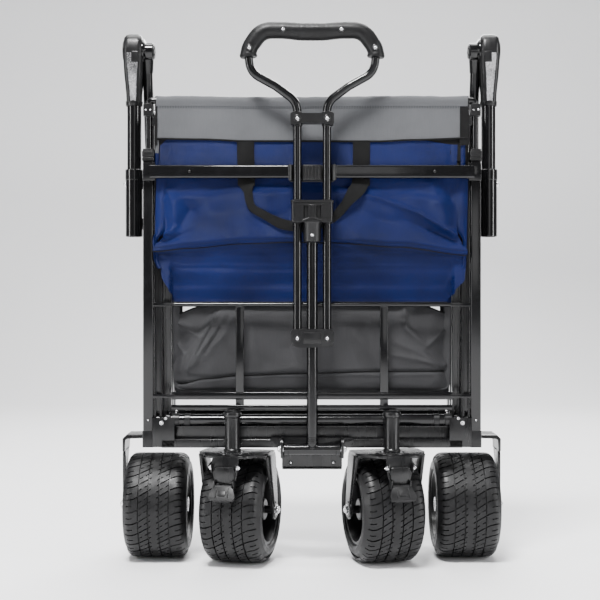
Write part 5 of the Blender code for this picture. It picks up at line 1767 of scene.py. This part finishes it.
def carry_straps():
    """Two webbing straps down the front panel, and the carry loop that hangs between them."""
    bm = bmesh.new()
    left, right = -0.1026, 0.0764
    wide = 0.0265
    for x, lean in ((left, 0.0014), (right, -0.0002)):
        line = [(x + lean * smooth(0.64, 0.6, z), -0.0008 + min(upper_panel_y(x, z), -0.0358), z)
                for z in [0.656 - 0.07 * k / 28.0 for k in range(29)]]
        add_ribbon(bm, line, [(0, -1, 0)] * len(line), [wide] * len(line))
    path = spline_through(LOOP_ROUTE, 8)
    facing = []
    count = len(path) - 1
    for k, (_, tangent, _, _) in enumerate(frames_along(path)):
        angle = math.radians(through(LOOP_TURNS, k / count))
        out = Vector((0.0, -1.0, 0.0))
        up = tangent.cross(out)
        facing.append(out * math.cos(angle) + up * math.sin(angle))
    widths = [through(LOOP_WIDTHS, k / count) for k in range(count + 1)]
    add_ribbon(bm, path, facing, widths, [0.0014 + 0.001 * smooth(0.026, 0.016, w) for w in widths])
    piece("carry_straps", bm, WEBBING, "front_top", (), 50.0)
    bm = bmesh.new()
    for x in (left, right):
        for dx in (-0.0104, 0.0104):
            line = lambda t, x=x, dx=dx: Vector((x + dx,
                                                 -0.0017 + min(upper_panel_y(x, 0.654 - 0.03 * t), -0.0358),
                                                 0.654 - 0.03 * t))
            add_stitches(bm, line, 0.03, 0.003, 0.00024)
    piece("strap_stitches", bm, THREAD, "front_top", (), 60.0)


LOOP_ROUTE = ((-0.101, -0.0388, 0.5975), (-0.1, -0.0425, 0.587), (-0.098, -0.0458, 0.574),
              (-0.0955, -0.0475, 0.56), (-0.09, -0.0482, 0.55), (-0.076, -0.0485, 0.542),
              (-0.06, -0.0486, 0.533), (-0.044, -0.0486, 0.526), (-0.022, -0.0485, 0.523),
              (0.002, -0.0485, 0.524), (0.022, -0.0485, 0.529), (0.037, -0.0486, 0.54),
              (0.05, -0.0485, 0.555), (0.062, -0.0476, 0.571), (0.072, -0.0445, 0.584),
              (0.0764, -0.039, 0.598))
LOOP_WIDTHS = ((0.0, 0.0275), (0.06, 0.024), (0.13, 0.0135), (0.22, 0.012), (0.36, 0.013), (0.45, 0.016),
               (0.58, 0.017), (0.66, 0.012), (0.8, 0.015), (0.9, 0.024), (1.0, 0.027))
LOOP_TURNS = ((0.0, 0.0), (0.1, 12.0), (0.2, -8.0), (0.36, 10.0), (0.5, -6.0), (0.66, 12.0), (0.85, -10.0),
              (1.0, 0.0))


def spline_through(points, steps):
    """Catmull-Rom curve through the points."""
    p = [Vector(q) for q in points]
    p = [p[0] * 2 - p[1]] + p + [p[-1] * 2 - p[-2]]
    path = []
    for a, b, c, d in zip(p, p[1:], p[2:], p[3:]):
        for k in range(steps):
            t = k / steps
            path.append(0.5 * (2 * b + (c - a) * t + (2 * a - 5 * b + 4 * c - d) * t * t
                               + (3 * b - a - 3 * c + d) * t ** 3))
    path.append(p[-2])
    return path


GUSSET_FRONT = FLOOR_LOW.y + 0.0035
GUSSET_REAR = 2.0 * MID_Y - GUSSET_FRONT
PLEATS = 4
PLEAT_DEPTH = 0.013
SIDE_X = 0.2182                      # outer face of the side walls


def pleat(t, deep):
    """Inward travel of a pleated side wall at t, from 0 at the front wall to 1 at the rear wall."""
    return deep * (0.5 - 0.5 * math.cos(2.0 * math.pi * PLEATS * t)) ** 1.3


def gusset_surface(sign, low, high, deep):
    """Side wall between the front and rear walls, folded into upright pleats."""
    def surface(u, v):
        y = GUSSET_FRONT + (GUSSET_REAR - GUSSET_FRONT) * u
        z = high + (low - high) * v
        x = SIDE_X - pleat(u, deep + 0.002 * wave(y * 4.0, z, 9.0, 60.0 + sign))
        return Vector((sign * x, y, z))

    return surface


def trough_surface():
    """Lower side walls and bottom of the bag in one cloth, pleated from front to rear."""
    line = filleted([(-0.218, 0.0, 0.41), (-0.2165, 0.0, 0.269), (0.2165, 0.0, 0.269), (0.218, 0.0, 0.41)],
                    0.012, 6)
    line = even_path(line, 0.006)
    frames = frames_along(line)

    def surface(u, v):
        place = u * (len(line) - 1)
        i = min(int(place), len(line) - 2)
        share = place - i
        point = line[i].lerp(line[i + 1], share)
        tangent = frames[i][1].lerp(frames[i + 1][1], share).normalized()
        inward = Vector((-tangent.z, 0.0, tangent.x))
        y = GUSSET_FRONT + (GUSSET_REAR - GUSSET_FRONT) * v
        ends = smooth(0.0, 0.08, min(v, 1.0 - v))
        fold = pleat(v, 0.01) + ends * 0.0015 * wave(point.x + point.z, y * 5.0, 14.0, 70.0)
        return Vector((point.x, y, point.z)) + inward * fold

    return surface


def between_walls(obj):
    """Cloth between the front and the rear rail: its transform is baked into its mesh, and it rides on no
    body.
    """
    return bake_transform(obj)


def gussets():
    """Side walls and trough, set between the front and the rear wall, folded while the wagon is closed."""
    for side, sign in SIDES:
        for name, finish, low, high in (("side_band", GREY, BAND_LOW, 0.706),
                                        ("side_wall", BLUE, 0.405, BAND_LOW)):
            wall = gusset_surface(sign, low, high, PLEAT_DEPTH)
            rows = max(8, round((high - low) / 0.01))
            between_walls(cloth_piece(f"{name}_{side}", wall, (64, rows), CLOTH_THICK, finish, None))
        bm = bmesh.new()
        outward = 0.0008 if sign > 0 else -0.002
        hem = gusset_surface(sign, 0.698, 0.708, PLEAT_DEPTH)
        add_sheet(bm, lambda u, v: hem(u, v) + Vector((sign * outward, 0.0, 0.0)), 64, 4, 0.0028)
        seam = gusset_surface(sign, BAND_LOW - 0.002, BAND_LOW + 0.002, PLEAT_DEPTH)
        add_sheet(bm, lambda u,
                  v: seam(u, v) + Vector((sign * (outward - 0.0002), 0.0, 0.0)), 64, 2, 0.0024)
        between_walls(piece("side_tape_" + side, bm, WEBBING, None, (), 60.0))
    between_walls(cloth_piece("bag_trough", trough_surface(), (150, 64), CLOTH_THICK, DARK, None))


# ---- stage -----------------------------------------------------------------------------------
FLOOR_SPAN = 40.0
CURVE_START, CURVE_RADIUS, WALL_TOP = 2.6, 1.2, 9.0
CAMERA_X, CAMERA_DISTANCE, CAMERA_HEIGHT = -0.0185, 1.80, 0.41
CAMERA_LENS = 69.7


def backdrop():
    """Pale floor that curves up into a wall far behind."""
    finish = Finish("pale_floor", "stage", (0.86, 0.86, 0.87), 0.9)
    finish.wire(finish.mixed(finish.noise(2.0), (0.85, 0.85, 0.86), (0.87, 0.87, 0.88)), "Base Color")
    profile = [(-FLOOR_SPAN, 0.0), (CURVE_START, 0.0)]
    for a in range(6, 91, 6):
        angle = math.radians(a)
        profile.append((CURVE_START + CURVE_RADIUS * math.sin(angle),
                        CURVE_RADIUS - CURVE_RADIUS * math.cos(angle)))
    profile.append((CURVE_START + CURVE_RADIUS, WALL_TOP))
    bm = bmesh.new()
    rows = [[bm.verts.new((x, y, z)) for x in (-FLOOR_SPAN, FLOOR_SPAN)]
            for y, z in profile]
    for a, b in zip(rows, rows[1:]):
        bm.faces.new((a[0], a[1], b[1], b[0]))
    obj = mesh_object("backdrop", bm)
    obj.data.shade_smooth()
    obj.data.materials.append(finish.material)


def soft_light(name, at, target, size, power):
    data = bpy.data.lights.new(name, "AREA")
    data.shape = "RECTANGLE"
    data.size, data.size_y = size
    data.energy = power
    obj = placed(name, data)
    obj.location = at
    obj.rotation_euler = (Vector(target) - Vector(at)).to_track_quat("-Z", "Y").to_euler()


def lights():
    soft_light("key", (-0.5, -1.5, 3.0), (0.0, 0.0, 0.45), (0.9, 0.5), 240.0)
    soft_light("strip_left", (-2.1, -1.0, 1.0), (0.0, 0.0, 0.45), (0.3, 1.8), 34.0)
    soft_light("strip_right", (2.1, -1.0, 1.0), (0.0, 0.0, 0.45), (0.3, 1.8), 38.0)
    soft_light("front", (0.6, -3.4, 1.2), (0.0, 0.0, 0.35), (1.2, 1.2), 7.0)
    soft_light("top", (0.0, 0.7, 3.0), (0.0, 0.1, 0.4), (2.4, 1.6), 100.0)
    soft_light("back", (0.4, 2.4, 2.2), (0.0, 0.2, 0.4), (1.8, 1.2), 100.0)
    world = bpy.data.worlds.new("studio")
    world.use_nodes = True
    world.node_tree.nodes["Background"].inputs["Color"].default_value = (1.0, 1.0, 1.0, 1.0)
    world.node_tree.nodes["Background"].inputs["Strength"].default_value = 0.17
    bpy.context.scene.world = world


def camera():
    """Level camera at 0.41 m, 1.8 m in front of the front frame, a little left of the middle."""
    data = bpy.data.cameras.new("view")
    data.lens = CAMERA_LENS
    data.sensor_width = 36.0
    obj = placed("view", data)
    obj.location = (CAMERA_X, FRONT_Y - CAMERA_DISTANCE, CAMERA_HEIGHT)
    obj.rotation_euler = (math.radians(90.0), 0.0, 0.0)
    bpy.context.scene.camera = obj


# ---- build -----------------------------------------------------------------------------------
for build in (camera, backdrop, lights, posts, push_sleeves, top_rails, crossbars, base_tubes,
              base_bar, base_webs, grille, frame_bolts, linkage, casters, rear_wheels, handle_bracket,
              handle_clip, handle_stem, handle_clamp, handle_loop, push_handle, walls, carry_straps,
              gussets):
    build()
